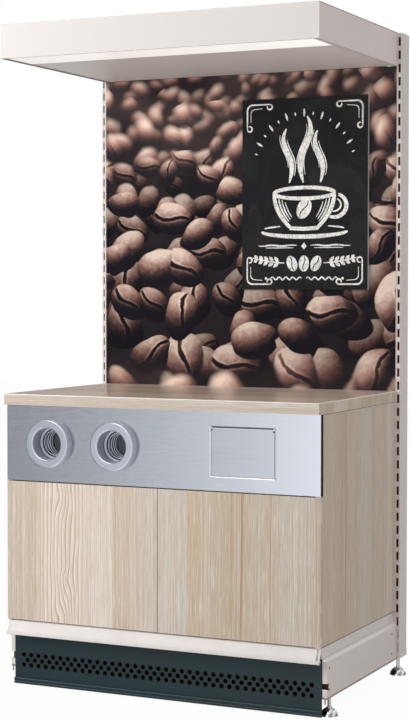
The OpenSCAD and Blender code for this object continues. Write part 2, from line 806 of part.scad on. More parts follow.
// Bezel and throat through the fascia, with two tabs in the upper corners that hold the pin
module chute_frame() color(steel) translate([flap_x, 0, 0]) {
    w = flap_w / 2;
    wi = flap_in_w / 2;
    throat = carcass_y + 2;
    low = flap_z + flap_border;
    high = flap_top - flap_border;
    slope_y = [front_y - 2 * frame_proud, front_y];
    slope = 2 * flap_bevel;
    difference() {
        union() {
            difference() {
                union() {
                    span([-w, front_y - frame_proud, flap_z], [w, front_y, flap_top]);
                    span([-wi - flap_t, front_y - frame_proud / 2, low - flap_t],
                         [wi + flap_t, throat, high + flap_t]);
                }
                span([-wi, front_y - frame_proud - cut, low], [wi, throat + cut, high]);
                // The bezel's inner edge slopes inwards
                intersection() {
                    along_x(2 * w) polygon([
                        [slope_y[0], low - slope], [slope_y[1], low],
                        [slope_y[1], high], [slope_y[0], high + slope]
                    ]);
                    translate([0, 0, flap_z - cut]) linear_extrude(flap_h + 2 * cut) polygon([
                        [-wi - slope, slope_y[0]], [-wi, slope_y[1]],
                        [wi, slope_y[1]], [wi + slope, slope_y[0]]
                    ]);
                }
            }
            for (x = [-wi, wi - pin_tab]) {
                translate([x, pin_y, pin_z]) rotate([0, 90, 0]) cylinder(r = knuckle_r, h = pin_tab);
                span([x, pin_y - knuckle_r, pin_z], [x + pin_tab, pin_y + knuckle_r, high]);
            }
        }
        translate([-w, pin_y, pin_z]) rotate([0, 90, 0]) cylinder(r = flap_pin_r, h = 2 * w);
    }
}

module flap_pin() color(steel)
    translate([flap_x - flap_in_w / 2, pin_y, pin_z]) rotate([0, 90, 0])
        cylinder(r = flap_pin_r, h = flap_in_w);

// Flap plate with a knuckle along its top and a stiffening fold along its bottom
module waste_flap() color(steel) translate([flap_x, 0, 0]) {
    w = flap_in_w / 2 - flap_gap;
    wk = w - pin_tab;
    z0 = flap_z + flap_border + flap_gap;
    y0 = pin_y - knuckle_r;
    difference() {
        union() {
            translate([-wk, pin_y, pin_z]) rotate([0, 90, 0]) cylinder(r = knuckle_r, h = 2 * wk);
            span([-wk, y0, pin_z - knuckle_r - flap_gap - 2], [wk, y0 + flap_t, pin_z]);
            span([-w, y0, z0], [w, y0 + flap_t, pin_z - knuckle_r - flap_gap]);
            span([-w, y0, z0], [w, y0 + 8, z0 + flap_t]);
            for (side = [-1, 1]) span([side > 0 ? w - flap_t : -w, y0, z0],
                [side > 0 ? w : -w + flap_t, y0 + 8, pin_z - knuckle_r - 2 * flap_gap]);
        }
        translate([-w, pin_y, pin_z]) rotate([0, 90, 0])
            cylinder(r = flap_pin_r + run_gap, h = 2 * w);
    }
}

// Sheet chute that leads from the flap down into the bin
module waste_chute() color(metal_dark) translate([flap_x, 0, 0]) {
    w = chute_w / 2;
    t = chute_t;
    front = carcass_y;
    back = carcass_y + chute_d;
    sill = flap_z - 2;
    slant = [40, 50];
    fold = [norm(slant) - slant[0], norm(slant) - slant[1]];
    union() {
        difference() {
            along_x(2 * w) polygon([
                [chute_y, chute_z], [chute_y, sill - t], [front, sill - t], [front, chute_top],
                [back - slant[0], chute_top], [back, chute_top - slant[1]], [back, chute_z]
            ]);
            along_x(2 * (w - t)) polygon([
                [chute_y + t, chute_z - cut], [chute_y + t, sill], [front - cut, sill],
                [front - cut, chute_top - t],
                [back - slant[0] - t * fold[0] / slant[1], chute_top - t],
                [back - t, chute_top - slant[1] - t * fold[1] / slant[0]], [back - t, chute_z - cut]
            ]);
        }
        // Flanges on the back of the fascia
        for (side = [-1, 1]) span([side > 0 ? w - t : -w - 12, carcass_y, flap_z],
                                  [side > 0 ? w + 12 : -w + t, carcass_y + t, chute_top]);
    }
}

// Thin flat section of the bin with round corners
module bin_slice(w, l, r, t = 0.01) linear_extrude(t) hull()
    for (x = [-1, 1], y = [-1, 1])
        translate([x * (w / 2 - r), y * (l / 2 - r)]) circle(r, $fn = 32);

// Tapered bin with a rolled rim
module waste_bin() color([0.20, 0.21, 0.22]) translate([bin_x, bin_y + bin_d / 2, floor_z]) {
    r = bin_corner;
    w = bin_w - 2 * bin_rim;
    l = bin_d - 2 * bin_rim;
    wb = w - 2 * bin_draft;
    lb = l - 2 * bin_draft;
    difference() {
        union() {
            hull() {
                bin_slice(wb, lb, r - 4);
                translate([0, 0, bin_h - 0.01]) bin_slice(w, l, r);
            }
            translate([0, 0, bin_h - 14]) bin_slice(bin_w, bin_d, r + 4, 14);
        }
        hull() {
            translate([0, 0, bin_wall]) bin_slice(wb - 2 * bin_wall, lb - 2 * bin_wall, r - 4 - bin_wall);
            translate([0, 0, bin_h + 0.1]) bin_slice(w - 2 * bin_wall, l - 2 * bin_wall, r - bin_wall);
        }
        // The rim is hollow below
        translate([0, 0, bin_h - 15]) difference() {
            bin_slice(bin_w - 2 * bin_wall, bin_d - 2 * bin_wall, r + 4 - bin_wall, 15 - bin_wall);
            translate([0, 0, -cut]) bin_slice(w + 0.4, l + 0.4, r, 15 + cut);
        }
    }
}

// Cup dispensers

// Puts a shape along a dispenser, where z counts back from the collar's front face
module at_cup(x) { translate([x, collar_y, cup_z]) rotate([-90, 0, 0]) children(); }

// Collar with eased edges and a spigot through the fascia
module cup_collar(x) color(satin) at_cup(x) rotate_extrude($fn = 96) difference() {
    e = 4;
    union() {
        translate([cup_bore_r, e]) square([collar_r - cup_bore_r, collar_out - e]);
        translate([cup_bore_r + e, 0]) square([collar_r - cup_bore_r - 2 * e, e]);
        translate([cup_bore_r + e, e]) circle(e);
        translate([collar_r - e, e]) circle(e);
        translate([cup_bore_r, collar_out - 1]) square([spigot_r - cup_bore_r, spigot_end - collar_out + 1]);
    }
    // Seat for the tube
    translate([cup_bore_r - cut, tube_seat]) square([tube_r - cup_bore_r + cut, 20]);
    // Fine groove round the flank
    translate([collar_r - 1, collar_out - 8]) square([2, 1.5]);
}

module left_cup_collar() { cup_collar(cup_left_x); }
module right_cup_collar() { cup_collar(cup_right_x); }

module cup_tube(x) color(metal_dark) at_cup(x)
    translate([0, 0, tube_seat]) rotate_extrude($fn = 96)
        translate([tube_in_r, 0]) square([tube_wall, tube_l]);

module left_cup_tube() { cup_tube(cup_left_x); }
module right_cup_tube() { cup_tube(cup_right_x); }

// Sleeve in the tube's mouth: a stepped ring, then thin ribs that hold back the next cup
module cup_sleeves() color([0.55, 0.58, 0.62]) for (x = [cup_left_x, cup_right_x])
    at_cup(x) rotate_extrude($fn = 64) {
        wall = 2.5;
        translate([tube_in_r - wall, sleeve_start]) square([wall, sleeve_end - sleeve_start]);
        translate([rib_r + 5, sleeve_start]) square([tube_in_r - rib_r - 5, 5]);
        translate([rib_r, sleeve_start + 5]) square([tube_in_r - rib_r, sleeve_ring - 5]);
        for (i = [1 : rib_n - 1]) translate([rib_r, sleeve_start + sleeve_ring + i * rib_pitch - rib_t])
            square([tube_in_r - rib_r, rib_t]);
    }

// Dished disc with a skirt that runs in the tube
module pusher(x) color([0.42, 0.44, 0.48]) at_cup(x) rotate_extrude($fn = 64) {
    r = tube_in_r - seat;
    translate([0, pusher_in]) square([r, 5]);
    translate([r - 2.5, pusher_in]) square([2.5, skirt_l]);
    translate([r - 16, pusher_in - 1.5]) square([8, 2]);
}

module left_pusher() { pusher(cup_left_x); }
module right_pusher() { pusher(cup_right_x); }

// One unbroken coil spring, swept as a tube of six sides with eight rings a turn
spring_rings = spring_n * 8;
spring_h = spring_end - spring_start - 2 * wire_r;
function spring_point(i, s) = let (a = 45 * i, b = 60 * s, r = spring_r + wire_r * cos(b))
    [r * cos(a), r * sin(a), spring_start + wire_r + spring_h * i / spring_rings + wire_r * sin(b)];
function spring_faces(n) = concat(
    [for (i = [0 : n - 1], s = [0 : 5], k = [0, 1])
        let (a = i * 6 + s, b = i * 6 + (s + 1) % 6)
        k == 0 ? [a, b, a + 6] : [b, b + 6, a + 6]],
    [for (s = [1 : 4]) [0, s + 1, s]],
    [for (s = [1 : 4]) [n * 6, n * 6 + s, n * 6 + s + 1]]);
module pusher_spring(x) color([0.6, 0.6, 0.62]) at_cup(x) polyhedron(
    points = [for (i = [0 : spring_rings], s = [0 : 5]) spring_point(i, s)],
    faces = spring_faces(spring_rings));
echo(spring_least_gap = min([for (i = [0 : spring_rings - 8], s = [0 : 5], u = [0 : 5])
    norm(spring_point(i, s) - spring_point(i + 8, u))]));

module left_pusher_spring() { pusher_spring(cup_left_x); }
module right_pusher_spring() { pusher_spring(cup_right_x); }

// Plugs in the rear ends of the tubes
module tube_end_caps() color(black) for (x = [cup_left_x, cup_right_x])
    at_cup(x) translate([0, 0, tube_end - cap_plug]) rotate_extrude($fn = 64) {
        translate([8, 0]) square([tube_in_r - 8, 3]);
        translate([tube_in_r - 3, 0]) square([3, cap_plug]);
        translate([tube_in_r - 3, cap_plug]) square([tube_wall + 3, 2]);
    }

// Sheet hanger under the worktop with a ring round each tube
module tube_hanger() color(steel) {
    y = collar_y + hanger_in;
    x0 = cup_left_x - tube_r - 16;
    x1 = cup_right_x + tube_r + 16;
    difference() {
        union() {
            span([x0, y, cup_z - 20], [x1, y + hanger_t, side_top]);
            span([x0, y, side_top - hanger_t], [x1, y + hanger_h, side_top]);
            for (x = [cup_left_x, cup_right_x]) translate([x, y, cup_z]) rotate([-90, 0, 0])
                cylinder(r = tube_r + 10, h = hanger_t, $fn = 64);
        }
        for (x = [cup_left_x, cup_right_x]) translate([x, y - cut, cup_z]) rotate([-90, 0, 0])
            cylinder(r = tube_r, h = hanger_t + 2 * cut, $fn = 96);
    }
}

// Doors

// Overlay door, bored top and bottom for its bushes
module door(side) color(laminate) scale([side, 1, 1]) difference() {
    span([mid_gap / 2, door_y, door_z], [fascia_w / 2, door_y + door_t, door_top]);
    for (z = [door_z - cut, door_top - bush_l])
        translate([pivot_x, pivot_y, z]) cylinder(r = bush_r, h = bush_l + cut);
}

module left_door() { door(-1); }
module right_door() { door(1); }

module door_bushes(side) color(black) for (z = [door_z, door_top - bush_l])
    translate([side * pivot_x, pivot_y, z]) difference() {
        cylinder(r = bush_r, h = bush_l);
        translate([0, 0, -cut]) cylinder(r = pivot_r + run_gap, h = bush_l + 2 * cut);
    }

module left_door_bushes() { door_bushes(-1); }
module right_door_bushes() { door_bushes(1); }

// Bent plates in the gaps above and below the doors, each with its pivot pin
module pivot_plates() color(steel) for (side = [-1, 1], up = [0, 1]) scale([side, 1, 1]) {
    z = up ? tab_high_z + plate_tab_h - pivot_plate : tab_low_z;
    tab_z = up ? tab_high_z : tab_low_z;
    pin_l = bush_l - 2 + door_gap - plate_gap - pivot_plate;
    union() {
        span([inner_x, pivot_y - 6, z], [post_x - 2.5, carcass_y + pivot_plate, z + pivot_plate]);
        span([inner_x, carcass_y, tab_z], [post_x - 2.5, carcass_y + pivot_plate, tab_z + plate_tab_h]);
        translate([pivot_x, pivot_y, up ? z - pin_l : z + pivot_plate]) cylinder(r = pivot_r, h = pin_l);
    }
}

// Soft discs on the divider's front edge that the doors rest against
module door_buffers() color([0.8, 0.8, 0.8]) mirror_x()
    for (z = [door_z + buffer_low, door_top - buffer_high])
        translate([board_t / 4, carcass_y, z]) rotate([90, 0, 0])
            cylinder(r = buffer_r, h = door_back_gap - seat);

// Push latch on each side of the divider
module latch_bodies() color([0.85, 0.85, 0.84]) mirror_x() translate([latch_x, 0, 0]) difference() {
    union() {
        span([-latch_w / 2, latch_y, latch_z - latch_h / 2],
             [latch_w / 2, latch_y + latch_l, latch_z + latch_h / 2]);
        span([-latch_w / 2, latch_y + 10, latch_z - latch_h / 2 - 10],
             [-latch_w / 2 + 2, latch_y + latch_l - 10, latch_z + latch_h / 2 + 10]);
    }
    translate([0, latch_y - cut, latch_z]) rotate([-90, 0, 0])
        cylinder(r = plunger_r + run_gap, h = latch_bore + plunger_travel + cut);
}

module latch_plunger(side) color([0.3, 0.3, 0.3]) translate([side * latch_x, 0, latch_z]) {
    tip_y = carcass_y - door_back_gap + seat;
    translate([0, tip_y, 0]) rotate([-90, 0, 0])
        cylinder(r = plunger_r, h = latch_y + latch_bore - 4 - tip_y);
}

module left_latch_plunger() { latch_plunger(-1); }
module right_latch_plunger() { latch_plunger(1); }

// Feet

// Domed pad and threaded stem
module foot(x, y) color([0.8, 0.82, 0.85]) translate([x, y, 0]) {
    dome_r = (pow(pad_d / 2, 2) + pow(pad_h - 6, 2)) / (2 * (pad_h - 6));
    union() {
        cylinder(r = pad_d / 2 - 1, h = 2);
        translate([0, 0, 1.5]) cylinder(r = pad_d / 2, h = 2.5);
        intersection() {
            translate([0, 0, pad_h - 2 - dome_r]) sphere(r = dome_r, $fn = 64);
            translate([0, 0, 4]) cylinder(r = pad_d / 2 - 0.4, h = pad_h);
        }
        translate([0, 0, pad_h - 6]) cylinder(r = stem_d / 2 + 3, h = 6);
        translate([0, 0, pad_h - 1]) cylinder(r = stem_d / 2, h = stem_l + 1);
    }
}

module front_left_foot() { foot(-foot_front_x, foot_front_y); }
module front_right_foot() { foot(foot_front_x, foot_front_y); }
module rear_left_foot() { foot(-post_x, foot_rear_y); }
module rear_right_foot() { foot(post_x, foot_rear_y); }

// Hexagon nuts in the legs and shoes, threaded on the stems
module foot_nut() difference() {
    cylinder(r = nut_w / 2 / cos(30), h = nut_t, $fn = 6);
    translate([0, 0, -cut]) cylinder(r = stem_d / 2 + thread_gap, h = nut_t + 2 * cut, $fn = 48);
}
module foot_nuts() color(steel) mirror_x() {
    translate([foot_front_x, foot_front_y, front_nut_z]) rotate(30) foot_nut();
    translate([post_x, foot_rear_y, rear_nut_z]) rotate(30) foot_nut();
}

left_upright();
right_upright();
upright_caps();
upright_shoes();
crossbars();
left_base_leg();
right_base_leg();
leg_rivets();
base_shelf();
ticket_strip();
kick_plate();
lower_back_panel();
print_panel();
poster_board();
canopy_shell();
canopy_brackets();
canopy_soffit();
led_diffuser();
led_tray();
led_driver();
worktop();
worktop_brackets();
left_side_panel();
right_side_panel();
cabinet_bottom();
cabinet_back();
cabinet_divider();
front_rails();
fascia_board();
fascia_skin();
chute_frame();
flap_pin();
waste_flap();
waste_chute();
waste_bin();
left_cup_collar();
right_cup_collar();
left_cup_tube();
right_cup_tube();
cup_sleeves();
left_pusher();
right_pusher();
left_pusher_spring();
right_pusher_spring();
tube_end_caps();
tube_hanger();
left_door();
right_door();
left_door_bushes();
right_door_bushes();
pivot_plates();
door_buffers();
latch_bodies();
left_latch_plunger();
right_latch_plunger();
front_left_foot();
front_right_foot();
rear_left_foot();
rear_right_foot();
foot_nuts();
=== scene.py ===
import json
import math

import bpy
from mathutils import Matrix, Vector


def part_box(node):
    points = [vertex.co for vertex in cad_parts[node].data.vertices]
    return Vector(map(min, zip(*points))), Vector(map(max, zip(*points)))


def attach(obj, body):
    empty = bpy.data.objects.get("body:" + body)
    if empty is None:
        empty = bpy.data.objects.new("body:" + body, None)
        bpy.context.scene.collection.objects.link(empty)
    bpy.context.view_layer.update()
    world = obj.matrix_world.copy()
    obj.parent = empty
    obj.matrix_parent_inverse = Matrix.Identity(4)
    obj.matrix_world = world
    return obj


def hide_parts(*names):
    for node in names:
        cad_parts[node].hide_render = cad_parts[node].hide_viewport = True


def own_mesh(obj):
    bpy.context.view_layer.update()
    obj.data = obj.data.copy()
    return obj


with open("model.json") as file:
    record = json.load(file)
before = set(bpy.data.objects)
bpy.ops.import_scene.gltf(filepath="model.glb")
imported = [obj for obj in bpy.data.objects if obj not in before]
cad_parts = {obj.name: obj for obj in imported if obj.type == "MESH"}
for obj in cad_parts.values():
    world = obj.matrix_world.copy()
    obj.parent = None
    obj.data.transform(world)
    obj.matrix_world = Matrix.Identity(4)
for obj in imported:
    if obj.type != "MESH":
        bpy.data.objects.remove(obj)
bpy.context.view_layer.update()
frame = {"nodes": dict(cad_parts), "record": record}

cad = frame["nodes"]
print("frame loaded")


def show(name, data):
    obj = bpy.data.objects.new(name, data)
    bpy.context.scene.collection.objects.link(obj)
    return obj


# camera, solved from the picture's own lines

camera = {
    "place": (2.2310, -4.7016, 1.1843),
    "turn": 0.4410,
    "tilt": 0.0330,
    "roll": -0.001,
    "lens": 86.44,
    "shift": (-0.00749, -0.01962),
    "sensor": 36,
}
eye = bpy.data.cameras.new("stationCamera")
eye.sensor_width = camera["sensor"]
eye.lens = camera["lens"]
eye.shift_x, eye.shift_y = camera["shift"]
eyeObject = show("stationCamera", eye)
eyeObject.location = camera["place"]
eyeObject.rotation_euler = (math.pi / 2 - camera["tilt"], camera["roll"], camera["turn"])
bpy.context.scene.camera = eyeObject
bpy.context.scene.view_settings.view_transform = "Standard"
print("camera placed")


# node helpers

def plug(tree, socket, value):
    if isinstance(value, bpy.types.NodeSocket):
        tree.links.new(value, socket)
    elif value is not None:
        socket.default_value = value


# a new node, with values or links for its first inputs
def add(tree, kind, *values, **settings):
    node = tree.nodes.new("ShaderNode" + kind)
    for key, value in settings.items():
        setattr(node, key, value)
    for socket, value in zip(node.inputs, values):
        plug(tree, socket, value)
    return node


def calc(tree, operation, *values):
    return add(tree, "Math", *values, operation=operation).outputs[0]


def plus(tree, total, *others):
    for other in others:
        total = calc(tree, "ADD", total, other)
    return total


def times(tree, total, *others):
    for other in others:
        total = calc(tree, "MULTIPLY", total, other)
    return total


def minus(tree, value, other):
    return calc(tree, "SUBTRACT", value, other)


# how far a value is from a middle, without its sign
def apart(tree, value, middle):
    return calc(tree, "ABSOLUTE", minus(tree, value, middle))


# a noise value swung round zero
def swing(tree, value, width):
    return times(tree, minus(tree, value, 0.5), width)


def vec(tree, operation, *values):
    node = add(tree, "VectorMath", *values, operation=operation)
    return node.outputs["Value" if operation in ("LENGTH", "DOT_PRODUCT") else "Vector"]


def scaled(tree, vector, factor):
    node = add(tree, "VectorMath", vector, operation="SCALE")
    plug(tree, node.inputs["Scale"], factor)
    return node.outputs["Vector"]


def turned(tree, vector, angle, invert=False):
    node = add(tree, "VectorRotate", vector, rotation_type="Z_AXIS", invert=invert)
    plug(tree, node.inputs["Angle"], angle)
    return node.outputs[0]


def fit(tree, value, low, high, newLow=0.0, newHigh=1.0, smooth=True):
    kind = "SMOOTHSTEP" if smooth else "LINEAR"
    return add(tree, "MapRange", value, low, high, newLow, newHigh, interpolation_type=kind).outputs[0]


def mix(tree, fac, a, b, blend="MIX"):
    node = add(tree, "Mix", data_type="RGBA", blend_type=blend)
    plug(tree, node.inputs[0], fac)
    plug(tree, node.inputs[6], a if isinstance(a, bpy.types.NodeSocket) else (*a, 1.0))
    plug(tree, node.inputs[7], b if isinstance(b, bpy.types.NodeSocket) else (*b, 1.0))
    return node.outputs[2]


def mixShaders(tree, fac, first, second):
    return add(tree, "MixShader", fac, first, second).outputs[0]


def ramp(tree, fac, stops):
    node = add(tree, "ValToRGB", fac)
    line = node.color_ramp
    while len(line.elements) < len(stops):
        line.elements.new(0.5)
    for element, (at, colour) in zip(line.elements, stops):
        element.position = at
        element.color = (*colour, 1.0)
    return node.outputs[0]


def noise(tree, vector, scale, detail, rough=0.5, warp=0.0):
    node = add(tree, "TexNoise", vector)
    for key, value in zip(("Scale", "Detail", "Roughness", "Distortion"), (scale, detail, rough, warp)):
        plug(tree, node.inputs[key], value)
    return node.outputs[0]


def pack(tree, x=0.0, y=0.0, z=0.0):
    return add(tree, "CombineXYZ", x, y, z).outputs[0]


def split(tree, vector):
    return add(tree, "SeparateXYZ", vector).outputs


def place(tree):
    return add(tree, "TexCoord").outputs["Object"]


def facing(tree):
    return add(tree, "NewGeometry").outputs["Normal"]


# a shared effect: its inputs and outputs are numbers, apart from these
socketKinds = {"Vector": "Vector", "Direction": "Vector", "Colour": "Color"}


def newGroup(name, inputs, outputs):
    tree = bpy.data.node_groups.new(name, "ShaderNodeTree")
    for labels, side in ((inputs, "INPUT"), (outputs, "OUTPUT")):
        for label in labels.split():
            kind = "NodeSocket" + socketKinds.get(label, "Float")
            tree.interface.new_socket(label, in_out=side, socket_type=kind)
    return tree, tree.nodes.new("NodeGroupInput").outputs, tree.nodes.new("NodeGroupOutput").inputs


def use(tree, group, **values):
    node = tree.nodes.new("ShaderNodeGroup")
    node.node_tree = group
    for key, value in values.items():
        plug(tree, node.inputs[key], value)
    return node.outputs


made = {}


def newMaterial(name, **fixed):
    made[name] = bpy.data.materials.new(name)
    made[name].use_nodes = True
    tree = made[name].node_tree
    inputs = tree.nodes["Principled BSDF"].inputs
    for key, value in fixed.items():
        inputs[key.replace("_", " ")].default_value = value
    return tree, inputs


def bump(tree, inputs, height, distance):
    node = add(tree, "Bump")
    node.inputs["Distance"].default_value = distance
    plug(tree, node.inputs["Height"], height)
    plug(tree, inputs["Normal"], node.outputs[0])


# shared effects

# fine orange peel of baked powder coat, with slow patches of tone
def makeCoatPeel():
    tree, _, out = newGroup("coatPeel", "", "Height Patch")
    plug(tree, out["Height"], noise(tree, place(tree), 700.0, 2.0))
    plug(tree, out["Patch"], fit(tree, noise(tree, place(tree), 5.0, 3.0), 0.3, 0.7))
    return tree


# edges, where the rounded normal leaves the true one: the mask for wear and for painted highlights along
# edges
def makeEdgeLine():
    tree, given, out = newGroup("edgeLine", "Width", "Mask")
    rounded = add(tree, "Bevel", samples=4)
    plug(tree, rounded.inputs["Radius"], given["Width"])
    agreement = vec(tree, "DOT_PRODUCT", rounded.outputs[0], facing(tree))
    plug(tree, out["Mask"], fit(tree, agreement, 0.99, 0.80))
    return tree


# hair lines of a brushed sheet, along X
def makeBrushLines():
    tree, given, out = newGroup("brushLines", "Along Across", "Lines Broad")
    x, y, z = split(tree, place(tree))
    across = given["Across"]
    hairs = pack(tree, times(tree, x, given["Along"]), times(tree, y, across), times(tree, z, across))
    plug(tree, out["Lines"], noise(tree, hairs, 1.0, 4.0, 0.65))
    plug(tree, out["Broad"], noise(tree, vec(tree, "MULTIPLY", hairs, (0.5, 0.05, 0.05)), 1.0, 2.0))
    return tree


# what mirrors see of the studio: dim to the left, bright to the right
studio = {"dim": 0.28, "bright": 1.90, "window": (-0.52, -0.33), "bend": 1.5,
          "beside": (-0.25, 0.15, 1.0, 0.5), "ceiling": (0.55, 0.80)}


def makeRoomTone():
    tree, given, out = newGroup("roomTone", "Direction", "Tone")
    x, _, z = split(tree, given["Direction"])
    toRight = calc(tree, "POWER", fit(tree, x, *studio["window"], smooth=False), studio["bend"])
    lit = plus(tree, studio["dim"], times(tree, toRight, studio["bright"] - studio["dim"]))
    walls = times(tree, lit, fit(tree, x, *studio["beside"]))
    plug(tree, out["Tone"], plus(tree, walls, fit(tree, z, *studio["ceiling"])))
    return tree


# pale timber decor: wide boards of changing tone, long pores, and arched figure
boardTones = {
    "tan": (0.565, 0.485, 0.395), "pale": (0.675, 0.615, 0.550), "gold": (0.530, 0.425, 0.310),
    "grey": (0.575, 0.530, 0.475), "deep": (0.515, 0.440, 0.356), "honey": (0.475, 0.380, 0.276),
    "ash": (0.525, 0.483, 0.432),
}
boardPlan = [
    (0.000, "deep"), (0.100, "deep"), (0.125, "pale"), (0.300, "pale"), (0.353, "pale"), (0.357, "gold"),
    (0.410, "tan"), (0.480, "grey"), (0.510, "grey"), (0.592, "ash"), (0.596, "gold"), (0.660, "deep"),
    (0.735, "honey"), (0.780, "deep"), (0.880, "deep"), (0.895, "ash"), (0.960, "ash"), (1.000, "deep"),
]
linePlan = [
    (0.0, 0.0), (0.728, 0.0), (0.735, 1.0), (0.765, 1.0), (0.775, 0.0), (0.848, 0.0),
    (0.852, 0.8), (0.858, 0.0), (0.965, 0.0), (0.972, 0.7), (0.990, 0.7), (1.0, 0.2),
]
# noise fields of the decor: scale across and along the boards, layer, detail and roughness
decorFields = {
    "sway": (5.0, 2.4, 3.0, 2.0, 0.5), "waver": (16.0, 8.0, 9.0, 2.0, 0.5),
    "bulge": (9.0, 6.5, 11.0, 1.0, 0.5), "lines": (190.0, 0.9, 6.0, 1.0, 0.5),
    "fibre": (620.0, 7.0, 2.0, 4.0, 0.7), "streak": (410.0, 1.3, 7.0, 2.0, 0.6),
    "broad": (34.0, 0.7, 5.0, 2.0, 0.5), "grain": (450.0, 12.0, 8.0, 2.0, 0.6),
}
# tones that the fields lay over the ground: where each starts, where it is full, its weight and colour
decorTones = [
    ("broad", 0.52, 0.72, 0.35, (0.600, 0.490, 0.375)),
    ("streak", 0.53, 0.61, 0.46, (0.495, 0.355, 0.228)),
    ("streak", 0.47, 0.38, 0.34, (0.820, 0.770, 0.715)),
    ("grain", 0.56, 0.63, 0.36, (0.840, 0.795, 0.730)),
    ("grain", 0.44, 0.37, 0.40, (0.440, 0.325, 0.215)),
]
# arched figure: rings pushed aside by slow bulges, on one board only
arch = {"middle": 0.195, "reach": 0.06, "push": 0.085, "rings": 78.0}


def makeTimber():
    tree, given, out = newGroup("timber", "Across Along Shift Stretch Figure", "Colour Pores")

    def field(name, at):
        across, along, layer, detail, rough = decorFields[name]
        vector = pack(tree, times(tree, at, across), times(tree, given["Along"], along), layer)
        return noise(tree, vector, 1.0, detail, rough)

    across = plus(tree, times(tree, given["Across"], given["Stretch"]), given["Shift"])
    sway = swing(tree, field("sway", across), 0.012)
    straight = plus(tree, across, sway, swing(tree, field("waver", across), 0.0032))
    boardAt = calc(tree, "FRACT", plus(tree, across, times(tree, sway, 0.35)))
    ground = ramp(tree, boardAt, [(at, boardTones[tone]) for at, tone in boardPlan])
    figureAt = calc(tree, "FRACT", straight)
    nearMiddle = fit(tree, apart(tree, figureAt, arch["middle"]), 0.0, arch["reach"], 1.0, 0.0)
    pushed = times(tree, minus(tree, field("bulge", across), 0.5), nearMiddle, arch["push"])
    ringAt = calc(tree, "FRACT", times(tree, plus(tree, figureAt, pushed), arch["rings"]))
    ringDark = times(tree, fit(tree, ringAt, 0.58, 0.93), fit(tree, ringAt, 1.0, 0.955))
    ringLight = times(tree, fit(tree, ringAt, 0.0, 0.08), fit(tree, ringAt, 0.34, 0.16))
    ringBoard = times(tree, fit(tree, figureAt, 0.095, 0.130), fit(tree, figureAt, 0.285, 0.235))
    ringBoard = times(tree, ringBoard, given["Figure"])
    lineWeight = ramp(tree, figureAt, [(at, (weight, weight, weight)) for at, weight in linePlan])
    brownLines = times(tree, fit(tree, field("lines", straight), 0.50, 0.60), lineWeight, 0.80)
    fields = {name: field(name, straight) for name in ("fibre", "streak", "broad", "grain")}
    for name, low, high, weight, tone in decorTones:
        ground = mix(tree, fit(tree, fields[name], low, high, 0.0, weight), ground, tone)
    ground = mix(tree, times(tree, ringLight, ringBoard, 0.55), ground, (0.84, 0.80, 0.74))
    ground = mix(tree, times(tree, ringDark, ringBoard), ground, (0.47, 0.315, 0.190))
    ground = mix(tree, brownLines, ground, (0.40, 0.245, 0.145))
    ground = mix(tree, fit(tree, fields["fibre"], 0.52, 0.76, 0.0, 0.26), ground, (0.44, 0.33, 0.23))
    plug(tree, out["Colour"], ground)
    plug(tree, out["Pores"], fields["fibre"])
    return tree


# one layer of roasted beans, drawn as a print: each Voronoi cell holds one lit bean
roastTones = [
    (0.04, (0.005, 0.004, 0.008)), (0.20, (0.018, 0.011, 0.014)), (0.36, (0.066, 0.033, 0.031)),
    (0.52, (0.205, 0.107, 0.088)), (0.68, (0.420, 0.270, 0.224)), (0.89, (0.780, 0.625, 0.525)),
]


def makeBeanLayer():
    tree, given, out = newGroup("beanLayer", "Vector Long Wide Soft Detail", "Colour Mask")
    cells = add(tree, "TexVoronoi", voronoi_dimensions="2D", feature="F1")
    plug(tree, cells.inputs["Vector"], given["Vector"])
    cells.inputs["Scale"].default_value = 1.0
    cells.inputs["Randomness"].default_value = 0.6
    chance = split(tree, cells.outputs["Color"])
    lean = swing(tree, chance[0], 2 * math.pi)
    away = vec(tree, "SUBTRACT", given["Vector"], cells.outputs["Position"])
    away = vec(tree, "MULTIPLY", away, (1.0, 1.0, 0.0))
    # the bean is an ellipse with one blunter end, lit like half an egg
    x, y, _ = split(tree, turned(tree, away, lean))
    size = fit(tree, chance[2], 0.0, 1.0, 0.82, 1.12, smooth=False)
    x = calc(tree, "DIVIDE", x, times(tree, given["Long"], size))
    taper = plus(tree, 1.0, times(tree, x, 0.14))
    y = calc(tree, "DIVIDE", y, times(tree, given["Wide"], size, taper))
    squared = plus(tree, times(tree, x, x), times(tree, y, y))
    reach = calc(tree, "SQRT", squared)
    softEdge = minus(tree, 1.02, times(tree, given["Soft"], 1.9))
    rise = calc(tree, "SQRT", calc(tree, "MAXIMUM", minus(tree, 1.0, times(tree, squared, 0.92)), 0.0))
    right, up, _ = split(tree, turned(tree, pack(tree, x, y), lean, invert=True))
    shade = plus(tree, times(tree, right, -0.30), times(tree, up, 0.66), times(tree, rise, 0.44))
    # the crease runs down the middle of the beans that lie flat side up
    crinkle = noise(tree, given["Vector"], 9.0, 5.0, 0.65)
    bend = times(tree, calc(tree, "SINE", times(tree, x, 3.6)), 0.16)
    creaseGap = apart(tree, plus(tree, y, swing(tree, crinkle, 0.22)), bend)
    creased = times(tree, fit(tree, chance[1], 0.45, 0.5), fit(tree, reach, 1.0, 0.86), given["Detail"])
    creaseDark = times(tree, fit(tree, creaseGap, 0.05, 0.15, 1.0, 0.0), creased)
    creaseLip = times(tree, fit(tree, creaseGap, 0.12, 0.30, 1.0, 0.0), creased)
    shade = plus(tree, shade, swing(tree, crinkle, times(tree, given["Detail"], 0.42)))
    shade = plus(tree, shade, times(tree, creaseLip, 0.16), swing(tree, chance[2], 0.22))
    shade = minus(tree, shade, times(tree, creaseDark, 0.75))
    plug(tree, out["Colour"], ramp(tree, shade, roastTones))
    plug(tree, out["Mask"], fit(tree, reach, softEdge, 1.03, 1.0, 0.0))
    return tree


